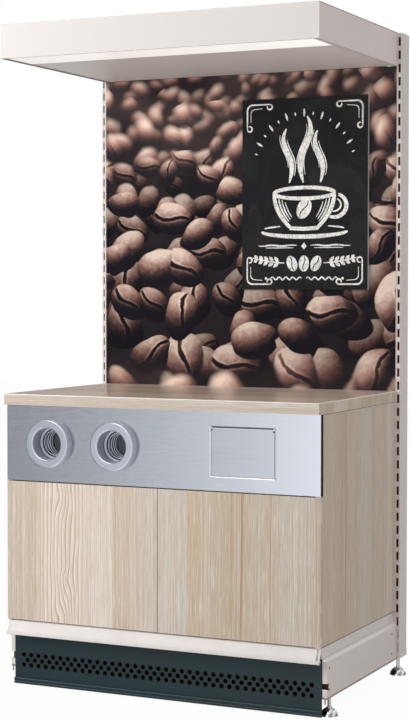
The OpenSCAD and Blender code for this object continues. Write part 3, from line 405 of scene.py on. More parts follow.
coatPeel = makeCoatPeel()
edgeLine = makeEdgeLine()
brushLines = makeBrushLines()
roomTone = makeRoomTone()
timber = makeTimber()
beanLayer = makeBeanLayer()
print("shared effects ready")


# materials: paint, metal, plastic and timber

def paintMaterial(name, colour, patch=None, rough=0.46, peel=0.000008, **fixed):
    tree, inputs = newMaterial(name, Roughness=rough, **fixed)
    coat = use(tree, coatPeel)
    patch = patch or tuple(c - 0.008 for c in colour)
    lighter = tuple(min(1.0, c * 1.12 + 0.01) for c in colour)
    # a lighter line along the edges: partly wear, partly painted highlight
    wearAndHighlight = times(tree, use(tree, edgeLine, Width=0.0015)["Mask"], 0.6)
    cloudy = mix(tree, coat["Patch"], colour, patch)
    plug(tree, inputs["Base Color"], mix(tree, wearAndHighlight, cloudy, lighter))
    bump(tree, inputs, coat["Height"], peel)


def metalMaterial(name, rough, dark=(0.0, 0.0, 0.0), light=(1.0, 1.0, 1.0), along=3.0, across=900.0,
                  contrast=1.0):
    tree, inputs = newMaterial(name, Metallic=1.0)
    lines = use(tree, brushLines, Along=along, Across=across)
    tone = plus(tree, times(tree, lines["Lines"], 0.97), times(tree, lines["Broad"], 0.03))
    plug(tree, inputs["Base Color"], mix(tree, fit(tree, tone, 0.32, 0.68), dark, light))
    plug(tree, inputs["Roughness"], fit(tree, lines["Lines"], 0.3, 0.7, rough - 0.03, rough + 0.03))
    bump(tree, inputs, lines["Lines"], 0.000008 * contrast)


def plasticMaterial(name, colour, rough, grain=0.00002, **fixed):
    tree, inputs = newMaterial(name, **fixed)
    slow = noise(tree, place(tree), 14.0, 3.0)
    darker = tuple(c * 0.96 for c in colour)
    plug(tree, inputs["Base Color"], mix(tree, fit(tree, slow, 0.35, 0.65), colour, darker))
    plug(tree, inputs["Roughness"], fit(tree, slow, 0.3, 0.7, rough - 0.05, rough + 0.05))
    bump(tree, inputs, noise(tree, place(tree), 1400.0, 2.0), grain)


def timberMaterial(name, across, along, shift, figure, edgeGlow, edgeWidth=0.0016, stretch=1.0,
                   tint=(1.0, 1.0, 1.0), rough=0.45):
    tree, inputs = newMaterial(name, Roughness=rough)
    axes = dict(zip("XYZ", split(tree, place(tree))))
    acrossValue = axes[across[0]]
    if len(across) > 1:
        acrossValue = minus(tree, acrossValue, axes[across[1]])
    wood = use(tree, timber, Across=acrossValue, Along=axes[along], Shift=shift, Stretch=stretch,
               Figure=figure)
    tinted = mix(tree, 1.0, wood["Colour"], tint, blend="MULTIPLY")
    # painted highlight along the board's edges
    edge = times(tree, use(tree, edgeLine, Width=edgeWidth)["Mask"], edgeGlow)
    plug(tree, inputs["Base Color"], mix(tree, edge, tinted, (0.92, 0.87, 0.80)))
    bump(tree, inputs, wood["Pores"], 0.00004)


frameTone = (0.725, 0.690, 0.675)
warmTone = (0.690, 0.640, 0.618)
paints = {
    "framePaint": {"colour": frameTone},
    "soffitPaint": {"colour": frameTone},
    "shellPaint": {"colour": frameTone},
    # a lit copy of the shell paint, for the canopy's right side face
    "canopySide": {"colour": (0.750, 0.674, 0.667)},
    "legPaint": {"colour": warmTone},
    "uprightPaint": {"colour": warmTone},
    # a shaded copy of the shelf's paint, for its side faces: painted shade
    "bandPaint": {"colour": warmTone},
    "rollShade": {"colour": (0.33, 0.27, 0.25), "patch": (0.31, 0.25, 0.23), "rough": 0.5},
    # painted highlight for the legs' sloped shoulders
    "shoulderPaint": {"colour": (0.92, 0.86, 0.83), "patch": (0.91, 0.85, 0.82), "rough": 0.4},
    "kickPaint": {"colour": (0.0115, 0.0285, 0.0340), "patch": (0.0130, 0.0300, 0.0355), "rough": 0.40,
                  "peel": 0.00001, "Specular_IOR_Level": 0.25},
    "rivetPaint": {"colour": (0.035, 0.028, 0.025), "patch": (0.03, 0.024, 0.022), "rough": 0.5,
                   "peel": 0.00001},
    "trayPaint": {"colour": (0.88, 0.88, 0.86), "patch": (0.84, 0.84, 0.82), "rough": 0.4, "peel": 0.00002},
    "boardEdge": {"colour": (0.52, 0.52, 0.53), "patch": (0.46, 0.46, 0.47), "rough": 0.5, "peel": 0.00002},
}
# the tone of footChrome comes later, from bands of painted reflection
metals = {
    "brushedFascia": {"dark": (0.535, 0.565, 0.625), "light": (0.585, 0.615, 0.675), "rough": 0.24,
                      "along": 30.0},
    "brushedFlap": {"dark": (0.480, 0.507, 0.561), "light": (0.525, 0.552, 0.606), "rough": 0.24},
    "satinCollar": {"dark": (0.54, 0.585, 0.66), "light": (0.57, 0.615, 0.69), "rough": 0.40,
                    "along": 300.0, "across": 300.0},
    "zincPlate": {"dark": (0.50, 0.51, 0.53), "light": (0.66, 0.67, 0.69), "rough": 0.38,
                  "along": 60.0, "across": 60.0},
    "tubeMetal": {"dark": (0.20, 0.21, 0.23), "light": (0.30, 0.31, 0.33), "rough": 0.45,
                  "along": 30.0, "across": 200.0},
    "drawnWire": {"dark": (0.42, 0.43, 0.45), "light": (0.60, 0.61, 0.63), "rough": 0.28,
                  "along": 200.0, "across": 200.0},
    "footChrome": {"rough": 0.14, "along": 40.0, "across": 40.0, "contrast": 0.2},
    # painted highlight for bevels and pins
    "bevelBright": {"dark": (0.86, 0.88, 0.92), "light": (0.96, 0.98, 1.0), "rough": 0.22,
                    "along": 40.0, "across": 40.0},
}
primer = {"rough": 0.9, "Specular_IOR_Level": 0.1}
plastics = {
    "stripPlastic": {"colour": (0.775, 0.745, 0.728), "rough": 0.42, "grain": 0.000004},
    "whitePlastic": {"colour": (0.84, 0.84, 0.82), "rough": 0.45},
    "blackPlastic": {"colour": (0.012, 0.012, 0.013), "rough": 0.6},
    "binPlastic": {"colour": (0.045, 0.047, 0.050), "rough": 0.55, "grain": 0.00005},
    "sleevePlastic": {"colour": (0.42, 0.46, 0.53), "rough": 0.38},
    "pusherPlastic": {"colour": (0.46, 0.485, 0.53), "rough": 0.45},
    "bufferRubber": {"colour": (0.55, 0.55, 0.54), "rough": 0.6},
    "backBoard": {"colour": (0.78, 0.75, 0.70), "rough": 0.55},
    "fasciaCore": {"colour": (0.008, 0.009, 0.013), "rough": 0.7, "grain": 0.00005,
                   "Specular_IOR_Level": 0.1},
    # the collar's flank and bore: a shaded and a lit copy of its finish, painted shade and painted light
    "collarSide": {"colour": (0.47, 0.505, 0.565), "rough": 0.35},
    "boreGrey": {"colour": (0.40, 0.43, 0.49), "rough": 0.45},
    # painted shade for bevels that face down
    "bevelDark": {"colour": (0.115, 0.122, 0.138), "rough": 0.5},
    "ventFelt": {"colour": (0.0012, 0.0012, 0.0013), "rough": 0.95, "Specular_IOR_Level": 0.0},
    # lit and shaded copies of the uprights' inside: painted light and painted shade
    "primerBrown": {"colour": (0.26, 0.075, 0.040), **primer},
    "primerPale": {"colour": (0.60, 0.44, 0.38), **primer},
    "notchBrown": {"colour": (0.100, 0.038, 0.024), **primer},
}
timbers = {
    "frontTimber": {"across": "X", "along": "Z", "shift": 0.5, "figure": 0.9, "edgeGlow": 0.5},
    "floorTimber": {"across": "Y", "along": "X", "shift": 0.70, "figure": 0.4, "edgeGlow": 0.4},
    # a darker tint on the side panels: painted shade
    "sideTimber": {"across": "Y", "along": "Z", "shift": 0.90, "figure": 0.4, "edgeGlow": 0.8,
                   "edgeWidth": 0.0020, "tint": (0.95, 0.92, 0.88)},
    "topTimber": {"across": "YZ", "along": "X", "shift": 0.24, "figure": 0.5, "edgeGlow": 1.0,
                  "edgeWidth": 0.0036, "stretch": 1.6, "tint": (1.03, 0.955, 0.935), "rough": 0.24},
    "frontEdgeTimber": {"across": "Z", "along": "X", "shift": 0.02, "figure": 0.3, "edgeGlow": 0.9,
                        "edgeWidth": 0.0030, "stretch": 1.6, "tint": (0.96, 1.00, 1.08), "rough": 0.4},
    "endTimber": {"across": "Y", "along": "Z", "shift": 0.62, "figure": 0.0, "edgeGlow": 0.8,
                  "edgeWidth": 0.0024, "stretch": 2.2, "tint": (0.90, 0.85, 0.77)},
}
for make, table in ((paintMaterial, paints), (metalMaterial, metals), (plasticMaterial, plastics),
                    (timberMaterial, timbers)):
    for name, spec in table.items():
        make(name, **spec)


# zones of a finish: each function gives a mask, which is 1 inside its zone

def slope(axis, low, high, weight=1.0):
    return lambda tree: fit(tree, split(tree, place(tree))["XYZ".index(axis)], low, high, 0.0, weight)


def between(tree, value, low, high, soft):
    return times(tree, fit(tree, value, low - soft, low + soft), fit(tree, value, high + soft, high - soft))


# painted shade on the flanges and inner faces of the legs, behind the kick plate
def shadeBehindKick(tree):
    x, y, _ = split(tree, place(tree))
    inward, _, _ = split(tree, facing(tree))
    flange = times(tree, fit(tree, apart(tree, x, 0.0), 0.4932, 0.4928), fit(tree, y, -0.27, -0.28))
    innerFace = fit(tree, times(tree, inward, calc(tree, "SIGN", x)), -0.4, -0.6)
    return calc(tree, "MAXIMUM", flange, times(tree, innerFace, fit(tree, y, 0.0, -0.2)))


# painted shade round the right upright's slots: two rows, one slot every pitch
slots = {"post": 0.5, "row": 0.0084, "half": 0.0038, "pitch": 0.040, "top": 1.9182, "count": 80,
         "share": 0.64, "face": 0.2866, "from": 0.078, "to": 1.944, "soft": 0.0002}


def slotRimShade(tree):
    x, y, z = split(tree, place(tree))
    soft = slots["soft"]
    beside = apart(tree, apart(tree, apart(tree, x, 0.0), slots["post"]), slots["row"])
    belowFloor = slots["top"] - slots["count"] * slots["pitch"]
    phase = calc(tree, "FRACT", calc(tree, "DIVIDE", minus(tree, z, belowFloor), slots["pitch"]))
    rim = times(tree, fit(tree, beside, slots["half"] + soft, slots["half"] - soft),
                between(tree, phase, 0.0, slots["share"], 0.008))
    return times(tree, rim, fit(tree, y, slots["face"] + soft, slots["face"]),
                 between(tree, z, slots["from"], slots["to"], soft), fit(tree, x, -0.1, 0.1))


# shaded rims of the kick plate's three rows of holes, the outer rows half a pitch aside
holes = {"pitch": 0.025, "rowPitch": 0.015, "middle": 0.0766, "rim": 0.0078, "end": 0.460, "longer": 0.010,
         "soft": 0.0003}


def holeRims(tree):
    x, _, z = split(tree, place(tree))
    up = minus(tree, z, holes["middle"])
    row = calc(tree, "ROUND", calc(tree, "DIVIDE", up, holes["rowPitch"]))
    offUp = minus(tree, up, times(tree, row, holes["rowPitch"]))
    outer = calc(tree, "ABSOLUTE", row)
    step = plus(tree, calc(tree, "DIVIDE", x, holes["pitch"]), times(tree, outer, 0.5))
    offAcross = times(tree, minus(tree, step, calc(tree, "ROUND", step)), holes["pitch"])
    away = vec(tree, "LENGTH", pack(tree, offAcross, offUp))
    rim = fit(tree, away, holes["rim"] + holes["soft"], holes["rim"] - holes["soft"])
    end = plus(tree, holes["end"], times(tree, outer, holes["longer"]))
    past = minus(tree, apart(tree, x, 0.0), end)
    return times(tree, rim, fit(tree, outer, 1.4, 1.1), fit(tree, past, 0.0002, -0.0002))


# the upper slope of each bead catches the light
def beadLight(tree):
    _, ny, nz = split(tree, facing(tree))
    return times(tree, fit(tree, nz, 0.35, 0.70), fit(tree, ny, -0.2, -0.4), slope("Z", 0.036, 0.034)(tree))


# dark joint lines where a side panel stands on the shelf and meets the worktop
def sideJoints(tree):
    return calc(tree, "MAXIMUM", slope("Z", 0.2030, 0.2022)(tree), slope("Z", 0.8396, 0.8404)(tree))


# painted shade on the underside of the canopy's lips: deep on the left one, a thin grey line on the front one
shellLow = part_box("canopy_shell")[0]
shellLip = {"left": -0.484, "front": shellLow.y + 0.005, "soft": 0.0005}
underLip = slope("Z", shellLow.z + 0.0004, shellLow.z + 0.0002)


def lipShade(axis, edge):
    beside = slope(axis, edge + shellLip["soft"], edge - shellLip["soft"])
    return lambda tree: times(tree, underLip(tree), beside(tree))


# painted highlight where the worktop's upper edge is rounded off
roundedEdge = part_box("worktop")[1].z - 0.0024
upperEdgeHighlight = slope("Z", roundedEdge - 0.0003, roundedEdge + 0.0003)
zones = [
    ("legPaint", shadeBehindKick, (0.060, 0.027, 0.019)),
    ("legPaint", slope("Z", 0.0605, 0.0590), (0.30, 0.23, 0.21)),
    ("uprightPaint", slotRimShade, (0.150, 0.048, 0.028)),
    # painted light: the soffit grows lighter towards the right
    ("soffitPaint", slope("X", -0.25, 0.45), (0.845, 0.775, 0.745)),
    ("canopySide", slope("Z", 1.9543, 1.9552), (0.34, 0.28, 0.26)),
    ("shellPaint", lipShade("Y", shellLip["front"]), (0.34, 0.275, 0.250)),
    ("shellPaint", lipShade("X", shellLip["left"]), (0.110, 0.064, 0.048)),
    ("kickPaint", beadLight, (0.062, 0.088, 0.105)),
    ("kickPaint", holeRims, (0.0012, 0.0014, 0.0016)),
    # painted highlight along the collar's edges
    ("satinCollar", lambda tree: use(tree, edgeLine, Width=0.0018)["Mask"], (0.90, 0.93, 0.98)),
    ("sideTimber", sideJoints, (0.080, 0.050, 0.035)),
    ("frontEdgeTimber", upperEdgeHighlight, (0.97, 0.95, 0.92)),
    ("endTimber", upperEdgeHighlight, (0.86, 0.83, 0.78)),
    ("topTimber", slope("X", 0.0, 0.45, 0.17), (1.0, 0.86, 0.75)),
]
for name, zone, tone in zones:
    tree = made[name].node_tree
    socket = tree.nodes["Principled BSDF"].inputs["Base Color"]
    plug(tree, socket, mix(tree, zone(tree), socket.links[0].from_socket, tone))


# front faces of the sleeve, with painted light and shade: each rib shows one glowing line round its bore, the
# front ring glows too, and the faces between are dark
cupLow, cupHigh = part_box("left_cup_collar")
otherLow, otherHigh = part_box("right_cup_collar")
cups = {"x": (cupLow.x + cupHigh.x + otherLow.x + otherHigh.x) / 4, "z": (cupLow.z + cupHigh.z) / 2,
        "half": (otherLow.x - cupLow.x) / 2, "ribLine": 0.0382, "ring": 0.0418, "soft": 0.0004}


def ribGlowFace():
    tree, inputs = newMaterial("ribGlowFace", Roughness=0.4, Emission_Strength=0.56)
    x, _, z = split(tree, place(tree))
    fromAxis = minus(tree, apart(tree, x, cups["x"]), cups["half"])
    radius = vec(tree, "LENGTH", pack(tree, fromAxis, minus(tree, z, cups["z"])))
    ribLine = fit(tree, radius, cups["ribLine"], cups["ribLine"] - cups["soft"])
    frontRing = fit(tree, radius, cups["ring"], cups["ring"] + cups["soft"])
    tone = mix(tree, ribLine, (0.055, 0.060, 0.070), (0.85, 0.88, 0.92))
    glow = mix(tree, ribLine, (0.0, 0.0, 0.0), (0.80, 0.86, 0.95))
    plug(tree, inputs["Base Color"], mix(tree, frontRing, tone, (0.42, 0.46, 0.53)))
    plug(tree, inputs["Emission Color"], mix(tree, frontRing, glow, (0.42, 0.46, 0.54)))


# lit opal sheet, brighter towards the right
def opalSheet():
    tree, inputs = newMaterial("opalSheet", Roughness=0.35, Emission_Strength=0.58)
    cloud = noise(tree, place(tree), 6.0, 2.0)
    plug(tree, inputs["Base Color"], mix(tree, cloud, (0.56, 0.54, 0.52), (0.60, 0.58, 0.56)))
    x, _, _ = split(tree, place(tree))
    along = fit(tree, x, -0.45, 0.45, 0.86, 1.26, smooth=False)
    glow = mix(tree, cloud, (1.0, 0.945, 0.905), (1.0, 0.965, 0.93))
    plug(tree, inputs["Emission Color"], scaled(tree, glow, along))


# painted reflection on the polished feet, by the way each face turns: dark bands to the left, bright ones to
# the right
footReflectionBands = [
    (0.0, 0.30), (0.10, 0.10), (0.30, 0.035), (0.46, 0.12), (0.55, 0.95), (0.68, 0.45), (0.78, 0.22),
    (0.88, 0.90), (1.0, 0.08),
]
footTint = (0.84, 0.87, 0.94)


def paintFootReflection():
    tree = made["footChrome"].node_tree
    toSide, _, _ = split(tree, facing(tree))
    bands = [(at, tuple(weight * c for c in footTint)) for at, weight in footReflectionBands]
    mirrored = ramp(tree, fit(tree, toSide, -1.0, 1.0, smooth=False), bands)
    plug(tree, tree.nodes["Principled BSDF"].inputs["Base Color"], mirrored)


# the bean print: four layers of beans, larger and nearer towards the bottom, out of focus at the top
beanPrint = {"vanish": 2.45, "cells": 7.6, "far": (1.40, 1.85), "near": (1.00, 0.88), "nearBlur": 0.35,
             "swell": (1.35, 1.80, 1.0, 1.14), "bright": (0.0, 1.0, 1.0, 1.9)}
# shift of the layer's cells, half length and width of its beans, and brightness
beanLayers = [
    ((0.37, 5.21), 0.40, 0.30, 0.42), ((9.73, 1.37), 0.43, 0.31, 0.62),
    ((3.19, 14.6), 0.45, 0.32, 0.86), ((21.4, 8.83), 0.47, 0.33, 1.0),
]


def printMaterial():
    tree, inputs = newMaterial("beanPrint", Roughness=0.5, Specular_IOR_Level=0.12)
    x, _, z = split(tree, place(tree))
    drop = minus(tree, beanPrint["vanish"], z)
    depth = calc(tree, "LOGARITHM", vec(tree, "LENGTH", pack(tree, x, drop)), math.e)
    cells = pack(tree, times(tree, calc(tree, "ARCTAN2", x, drop), beanPrint["cells"]),
                 times(tree, depth, -beanPrint["cells"]))
    cells = vec(tree, "ADD", cells, pack(tree, swing(tree, noise(tree, cells, 1.6, 2.0), 0.22)))
    nearBlur = times(tree, fit(tree, z, *beanPrint["near"]), beanPrint["nearBlur"])
    blur = calc(tree, "MAXIMUM", fit(tree, z, *beanPrint["far"]), nearBlur)
    softness = fit(tree, blur, 0.0, 1.0, 0.025, 0.46, smooth=False)
    sharp = fit(tree, blur, 0.75, 0.0)
    swell = fit(tree, z, *beanPrint["swell"])
    patches = noise(tree, pack(tree, x, 0.0, z), 4.5, 2.0)
    heap = mix(tree, fit(tree, patches, 0.35, 0.7), (0.0058, 0.0052, 0.0085), (0.018, 0.012, 0.015))
    for (across, up), long, wide, bright in beanLayers:
        beans = use(tree, beanLayer, Vector=vec(tree, "ADD", cells, (across, up, 0.0)), Soft=softness,
                    Detail=sharp, Long=times(tree, swell, long), Wide=times(tree, swell, wide))
        lit = times(tree, bright, fit(tree, blur, *beanPrint["bright"]))
        heap = mix(tree, beans["Mask"], heap, scaled(tree, beans["Colour"], lit))
    haze = mix(tree, fit(tree, patches, 0.3, 0.7), (0.17, 0.10, 0.085), (0.56, 0.42, 0.36))
    plug(tree, inputs["Base Color"], mix(tree, times(tree, blur, 0.09), heap, haze))
    bump(tree, inputs, noise(tree, place(tree), 900.0, 2.0), 0.00001)


# the chalkboard: a wiped black ground
def wipedBoard():
    tree, inputs = newMaterial("wipedBoard", Roughness=0.62, Specular_IOR_Level=0.2)
    cloud = noise(tree, place(tree), 7.0, 5.0, 0.62, 0.8)
    wipes = noise(tree, vec(tree, "MULTIPLY", place(tree), (30.0, 1.0, 9.0)), 1.0, 4.0, 0.6, 1.5)
    dust = noise(tree, place(tree), 900.0, 2.0)
    ground = mix(tree, fit(tree, cloud, 0.42, 0.66), (0.0072, 0.0075, 0.0092), (0.016, 0.0165, 0.018))
    ground = mix(tree, fit(tree, wipes, 0.55, 0.8, 0.0, 0.35), ground, (0.040, 0.041, 0.043))
    ground = mix(tree, fit(tree, dust, 0.62, 0.8, 0.0, 0.3), ground, (0.06, 0.06, 0.06))
    plug(tree, inputs["Base Color"], ground)
    bump(tree, inputs, dust, 0.00002)


def chalkLine():
    tree, inputs = newMaterial("chalkLine", Roughness=0.9)
    rub = noise(tree, place(tree), 520.0, 3.0, 0.7)
    broken = plus(tree, rub, times(tree, noise(tree, place(tree), 60.0, 2.0), 0.25))
    thin = fit(tree, broken, 0.60, 0.76, 1.0, 0.30)
    plug(tree, inputs["Base Color"], mix(tree, thin, (0.060, 0.060, 0.062), (0.97, 0.965, 0.94)))
    bump(tree, inputs, rub, 0.00006)


for make in (ribGlowFace, opalSheet, paintFootReflection, printMaterial, wipedBoard, chalkLine):
    make()
print("materials ready")

# finishes on the CAD pieces

finishOf = {
    "frame_paint": "framePaint", "kick_paint": "kickPaint", "rivet_steel": "rivetPaint",
    "white_tray": "trayPaint", "fascia_steel": "brushedFascia", "collar_metal": "satinCollar",
    "zinc_steel": "zincPlate", "tube_metal": "tubeMetal", "spring_steel": "drawnWire",
    "foot_chrome": "footChrome",
    "strip_plastic": "stripPlastic", "white_plastic": "whitePlastic", "black_plastic": "blackPlastic",
    "bin_plastic": "binPlastic", "sleeve_plastic": "sleevePlastic", "pusher_plastic": "pusherPlastic",
    "buffer_rubber": "bufferRubber", "back_board": "backBoard", "fascia_core": "fasciaCore",
    "diffuser": "opalSheet", "printed_panel": "beanPrint", "chalkboard": "wipedBoard",
}
ownFinish = {
    "worktop": "topTimber", "front_rails": "topTimber", "cabinet_bottom": "floorTimber",
    "left_side_panel": "sideTimber", "right_side_panel": "sideTimber", "cabinet_divider": "sideTimber",
    "left_door": "frontTimber", "right_door": "frontTimber", "left_upright": "uprightPaint",
    "right_upright": "uprightPaint", "left_base_leg": "legPaint", "right_base_leg": "legPaint",
    "canopy_shell": "shellPaint",
}
slotOf = {p["node"]: p["material_slot"] for p in frame["record"]["subparts"]}
for name, obj in cad.items():
    obj.data.materials.clear()
    obj.data.materials.append(made[ownFinish.get(name) or finishOf[slotOf[name]]])


# some faces of one piece have another finish: the back of a print, the inside of a tube
def refinish(name, finish, test):
    mesh = cad[name].data
    mesh.materials.append(made[finish])
    for face in mesh.polygons:
        if test(face.center, face.normal):
            face.material_index = len(mesh.materials) - 1


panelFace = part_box("print_panel")[0].y
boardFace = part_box("poster_board")[0].y
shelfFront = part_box("base_shelf")[0].y
sheetSkin = 0.0003
# an upright's faces that lie deeper than this are inner ones
innerDepth = 0.4 * 0.0016
topDepth = 0.002
refinish("print_panel", "framePaint", lambda c, n: not (n.y < -0.9 and c.y < panelFace + sheetSkin))
refinish("poster_board", "boardEdge", lambda c, n: not (n.y < -0.9 and c.y < boardFace + sheetSkin))
# the inside of each upright: painted light on the left one, painted shade on the right one
for name, inner in (("left_upright", "primerPale"), ("right_upright", "primerBrown")):
    low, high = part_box(name)
    low = low + Vector((innerDepth, innerDepth, 0.0))
    high = high - Vector((innerDepth, innerDepth, topDepth))
    refinish(name, inner, lambda c, n: low.x < c.x < high.x and low.y < c.y < high.y and c.z < high.z)
# painted highlight on the faces of the shoulder that turn up and out
for name in ("left_base_leg", "right_base_leg"):
    refinish(name, "shoulderPaint", lambda c, n: n.z > 0.3 and abs(n.x) > 0.3)
for name in ("left_cup_collar", "right_cup_collar"):
    middle = (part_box(name)[0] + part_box(name)[1]) / 2

    # more than 0 on a face that looks away from the bore's axis
    def outward(c, n):
        return n.x * (c.x - middle.x) + n.z * (c.z - middle.z)

    # painted light on the bore, painted shade on the outer flank
    refinish(name, "boreGrey", lambda c, n: abs(n.y) < 0.35 and outward(c, n) < 0)
    refinish(name, "collarSide", lambda c, n: abs(n.y) < 0.2 and outward(c, n) > 0)
faceTests = [
    ("worktop", "endTimber", lambda c, n: abs(n.x) > 0.9),
    ("worktop", "frontEdgeTimber", lambda c, n: n.y < -0.9),
    ("cup_sleeves", "ribGlowFace", lambda c, n: n.y < -0.8),
    ("base_shelf", "bandPaint", lambda c, n: abs(n.x) > 0.8),
    ("base_shelf", "rollShade", lambda c, n: abs(c.x) > 0.4962 and c.z < 0.1714 and c.y > shelfFront + 0.030),
    ("canopy_soffit", "soffitPaint", lambda c, n: n.z < -0.9),
    ("canopy_shell", "canopySide", lambda c, n: n.x > 0.9),
    ("waste_flap", "brushedFlap", lambda c, n: n.y < -0.9),
    # painted highlight on the flap's pins and the chute frame's upper and side bevels, painted shade on its
    # lower ones
    ("flap_pin", "bevelBright", lambda c, n: True),
    ("chute_frame", "bevelBright", lambda c, n: n.y < -0.2 and (n.z > 0.25 or abs(n.x) > 0.25)),
    ("chute_frame", "bevelDark", lambda c, n: n.y < -0.2 and n.z < -0.25),
]
for name, finish, test in faceTests:
    refinish(name, finish, test)
print("finishes placed")


# coil springs behind the pushers: drawn wire with closed ends

spring = {"turns": 18, "wire": 0.0024, "perTurn": 28, "endTurns": 1.2, "endLead": 1.05, "stroke": 0.3}


# how far along its axis the wire is after some turns: tight at both ends, open between
def coilLead(turn, length):
    flat = spring["endTurns"]
    closedLead = spring["wire"] * spring["endLead"]
    openTurns = spring["turns"] - 2 * flat
    openLength = length - 2 * flat * closedLead
    lead = (min(turn, flat) + max(0.0, turn - (spring["turns"] - flat))) * closedLead
    return lead + min(max(turn - flat, 0.0), openTurns) / openTurns * openLength


# mesh of a round wire along some points
def wireMesh(name, points, width):
    curve = bpy.data.curves.new(name, "CURVE")
    curve.dimensions = "3D"
    curve.bevel_depth = width / 2
    curve.bevel_resolution = 2
    curve.use_fill_caps = True
    line = curve.splines.new("POLY")
    line.points.add(len(points) - 1)
    for point, spot in zip(line.points, points):
        point.co = (*spot, 1.0)
    wire = show(name, curve)
    bpy.context.view_layer.update()
    mesh = bpy.data.meshes.new_from_object(wire.evaluated_get(bpy.context.evaluated_depsgraph_get()))
    bpy.data.objects.remove(wire)
    for face in mesh.polygons:
        face.use_smooth = True
    return mesh


for side in ("left", "right"):
    low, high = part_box(side + "_pusher_spring")
    middle = (low + high) / 2
    radius = (high.x - low.x - spring["wire"]) / 2
    length = high.y - low.y - spring["wire"]
    start = low.y + spring["wire"] / 2
    coil = []
    for i in range(spring["turns"] * spring["perTurn"] + 1):
        turn = i / spring["perTurn"]
        angle = 2 * math.pi * turn
        coil.append((middle.x + radius * math.cos(angle), start + coilLead(turn, length),
                     middle.z + radius * math.sin(angle)))
    mesh = wireMesh(side + "PusherSpring", coil, spring["wire"])
    mesh.materials.append(made["drawnWire"])
    coilObject = show(side + "CoilSpring", mesh)
    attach(coilObject, "station")
    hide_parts(side + "_pusher_spring")
    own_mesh(coilObject)
print("springs wound")

# chalk drawing of its own: a steaming cup, rays, beans between sprigs, and curls in the corners

boardLow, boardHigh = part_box("poster_board")
board = {"x": (boardLow.x + boardHigh.x) / 2, "z": (boardLow.z + boardHigh.z) / 2, "y": boardLow.y - 0.0003,
         "layer": 0.00000004}
chalkVerts, chalkFaces = [], []
chalkWeight = 1.35


# a corner of the drawing, in millimetres from the middle of the board
def chalkPoint(a, b):
    lift = board["layer"] * len(chalkFaces)
    chalkVerts.append((board["x"] + a / 1000, board["y"] - lift, board["z"] + b / 1000))
    return len(chalkVerts) - 1


def fill(points):
    if sum(points[i - 1][0] * p[1] - p[0] * points[i - 1][1] for i, p in enumerate(points)) < 0:
        points = points[::-1]
    chalkFaces.append([chalkPoint(*p) for p in points])


# a line of chalk, with thinner ends where thin is given
def stroke(points, width, thin=None):
    thin = width if thin is None else thin
    last = len(points) - 1
    pairs = []
    for i, (a, b) in enumerate(points):
        before, after = points[max(i - 1, 0)], points[min(i + 1, last)]
        da, db = after[0] - before[0], after[1] - before[1]
        half = (thin + (width - thin) * math.sin(math.pi * i / last) ** 0.7) / 2 * chalkWeight
        scale = half / (math.hypot(da, db) or 1.0)
        aside, along = db * scale, da * scale
        pairs.append((chalkPoint(a - aside, b + along), chalkPoint(a + aside, b - along)))
    for (up, down), (nextUp, nextDown) in zip(pairs, pairs[1:]):
        chalkFaces.append([up, down, nextDown, nextUp])


def leaned(points, a, b, lean):
    return [(a + u * math.cos(lean) - v * math.sin(lean), b + u * math.sin(lean) + v * math.cos(lean))
            for u, v in points]


def arc(a, b, ra, rb, start, end, count=24):
    angles = [math.radians(start + (end - start) * i / count) for i in range(count + 1)]
    return [(a + ra * math.cos(t), b + rb * math.sin(t)) for t in angles]


# the same points on one side or the other, above or below
def mirrored(points, sign, up=1):
    return [(sign * a, up * b) for a, b in points]


def bean(a, b, ra, rb, lean):
    for sign in (-1, 1):
        crease = [(sign * 1.6 + 0.22 * ra * math.sin(math.pi * (i / 6 - 1)), rb * (i / 6 - 1) * 0.96)
                  for i in range(1, 12)]
        fill(leaned(arc(0, 0, ra, rb, 90, 90 - sign * 180, 16) + crease, a, b, lean))


def leaf(a, b, length, wide, lean):
    side = [(length * i / 8, wide * math.sin(math.pi * i / 8)) for i in range(9)]
    fill(leaned(side + [(u, -v) for u, v in side[-2:0:-1]], a, b, lean))


cup = {"rim": 100.0, "rimRise": 17.0, "top": 2.0, "base": 44.0, "bottom": -106.0, "bow": 2.1, "steps": 16}
bowl = [(-cup["rim"] + (cup["rim"] - cup["base"]) * (i / cup["steps"]) ** cup["bow"],
         cup["top"] + (cup["bottom"] - cup["top"]) * i / cup["steps"]) for i in range(cup["steps"] + 1)]
stroke(arc(0, cup["top"], cup["rim"], cup["rimRise"], 0, 360, 48), 8.5)
stroke(arc(0, cup["top"] - 4, cup["rim"] - 14, cup["rimRise"] - 8, 190, 350, 30), 3.5, 1.5)
for sign in (-1, 1):
    stroke(mirrored(bowl, sign), 10.0, 8.0)
    for k, inset in enumerate((14, 24, 34)):
        flute = [(sign * (a + inset), b) for a, b in bowl[2 + k:14 - k]]
        stroke(flute, 4.6 - k, 1.5)
stroke([(-cup["base"] - 4, cup["bottom"]), (0, cup["bottom"] - 3), (cup["base"] + 4, cup["bottom"])], 9.0)
# handle and saucer: middle, radii, first and last angle and steps of an arc, then its widths
cupArcs = [
    ((100, -38, 40, 36, 70, -112, 30), 10.0, 6.0), ((98, -36, 24, 20, 62, -100, 24), 4.0, 2.5),
    ((0, -116, 142, 16, 180, 360, 40), 9.0, 5.0), ((0, -112, 142, 14, 20, 56, 12), 4.0, 2.0),
    ((0, -112, 142, 14, 124, 160, 12), 4.0, 2.0), ((0, -124, 118, 13, 200, 340, 30), 3.5, 1.5),
]
for shape, width, thin in cupArcs:
    stroke(arc(*shape), width, thin)
bean(0, -46, 23, 33, -0.45)
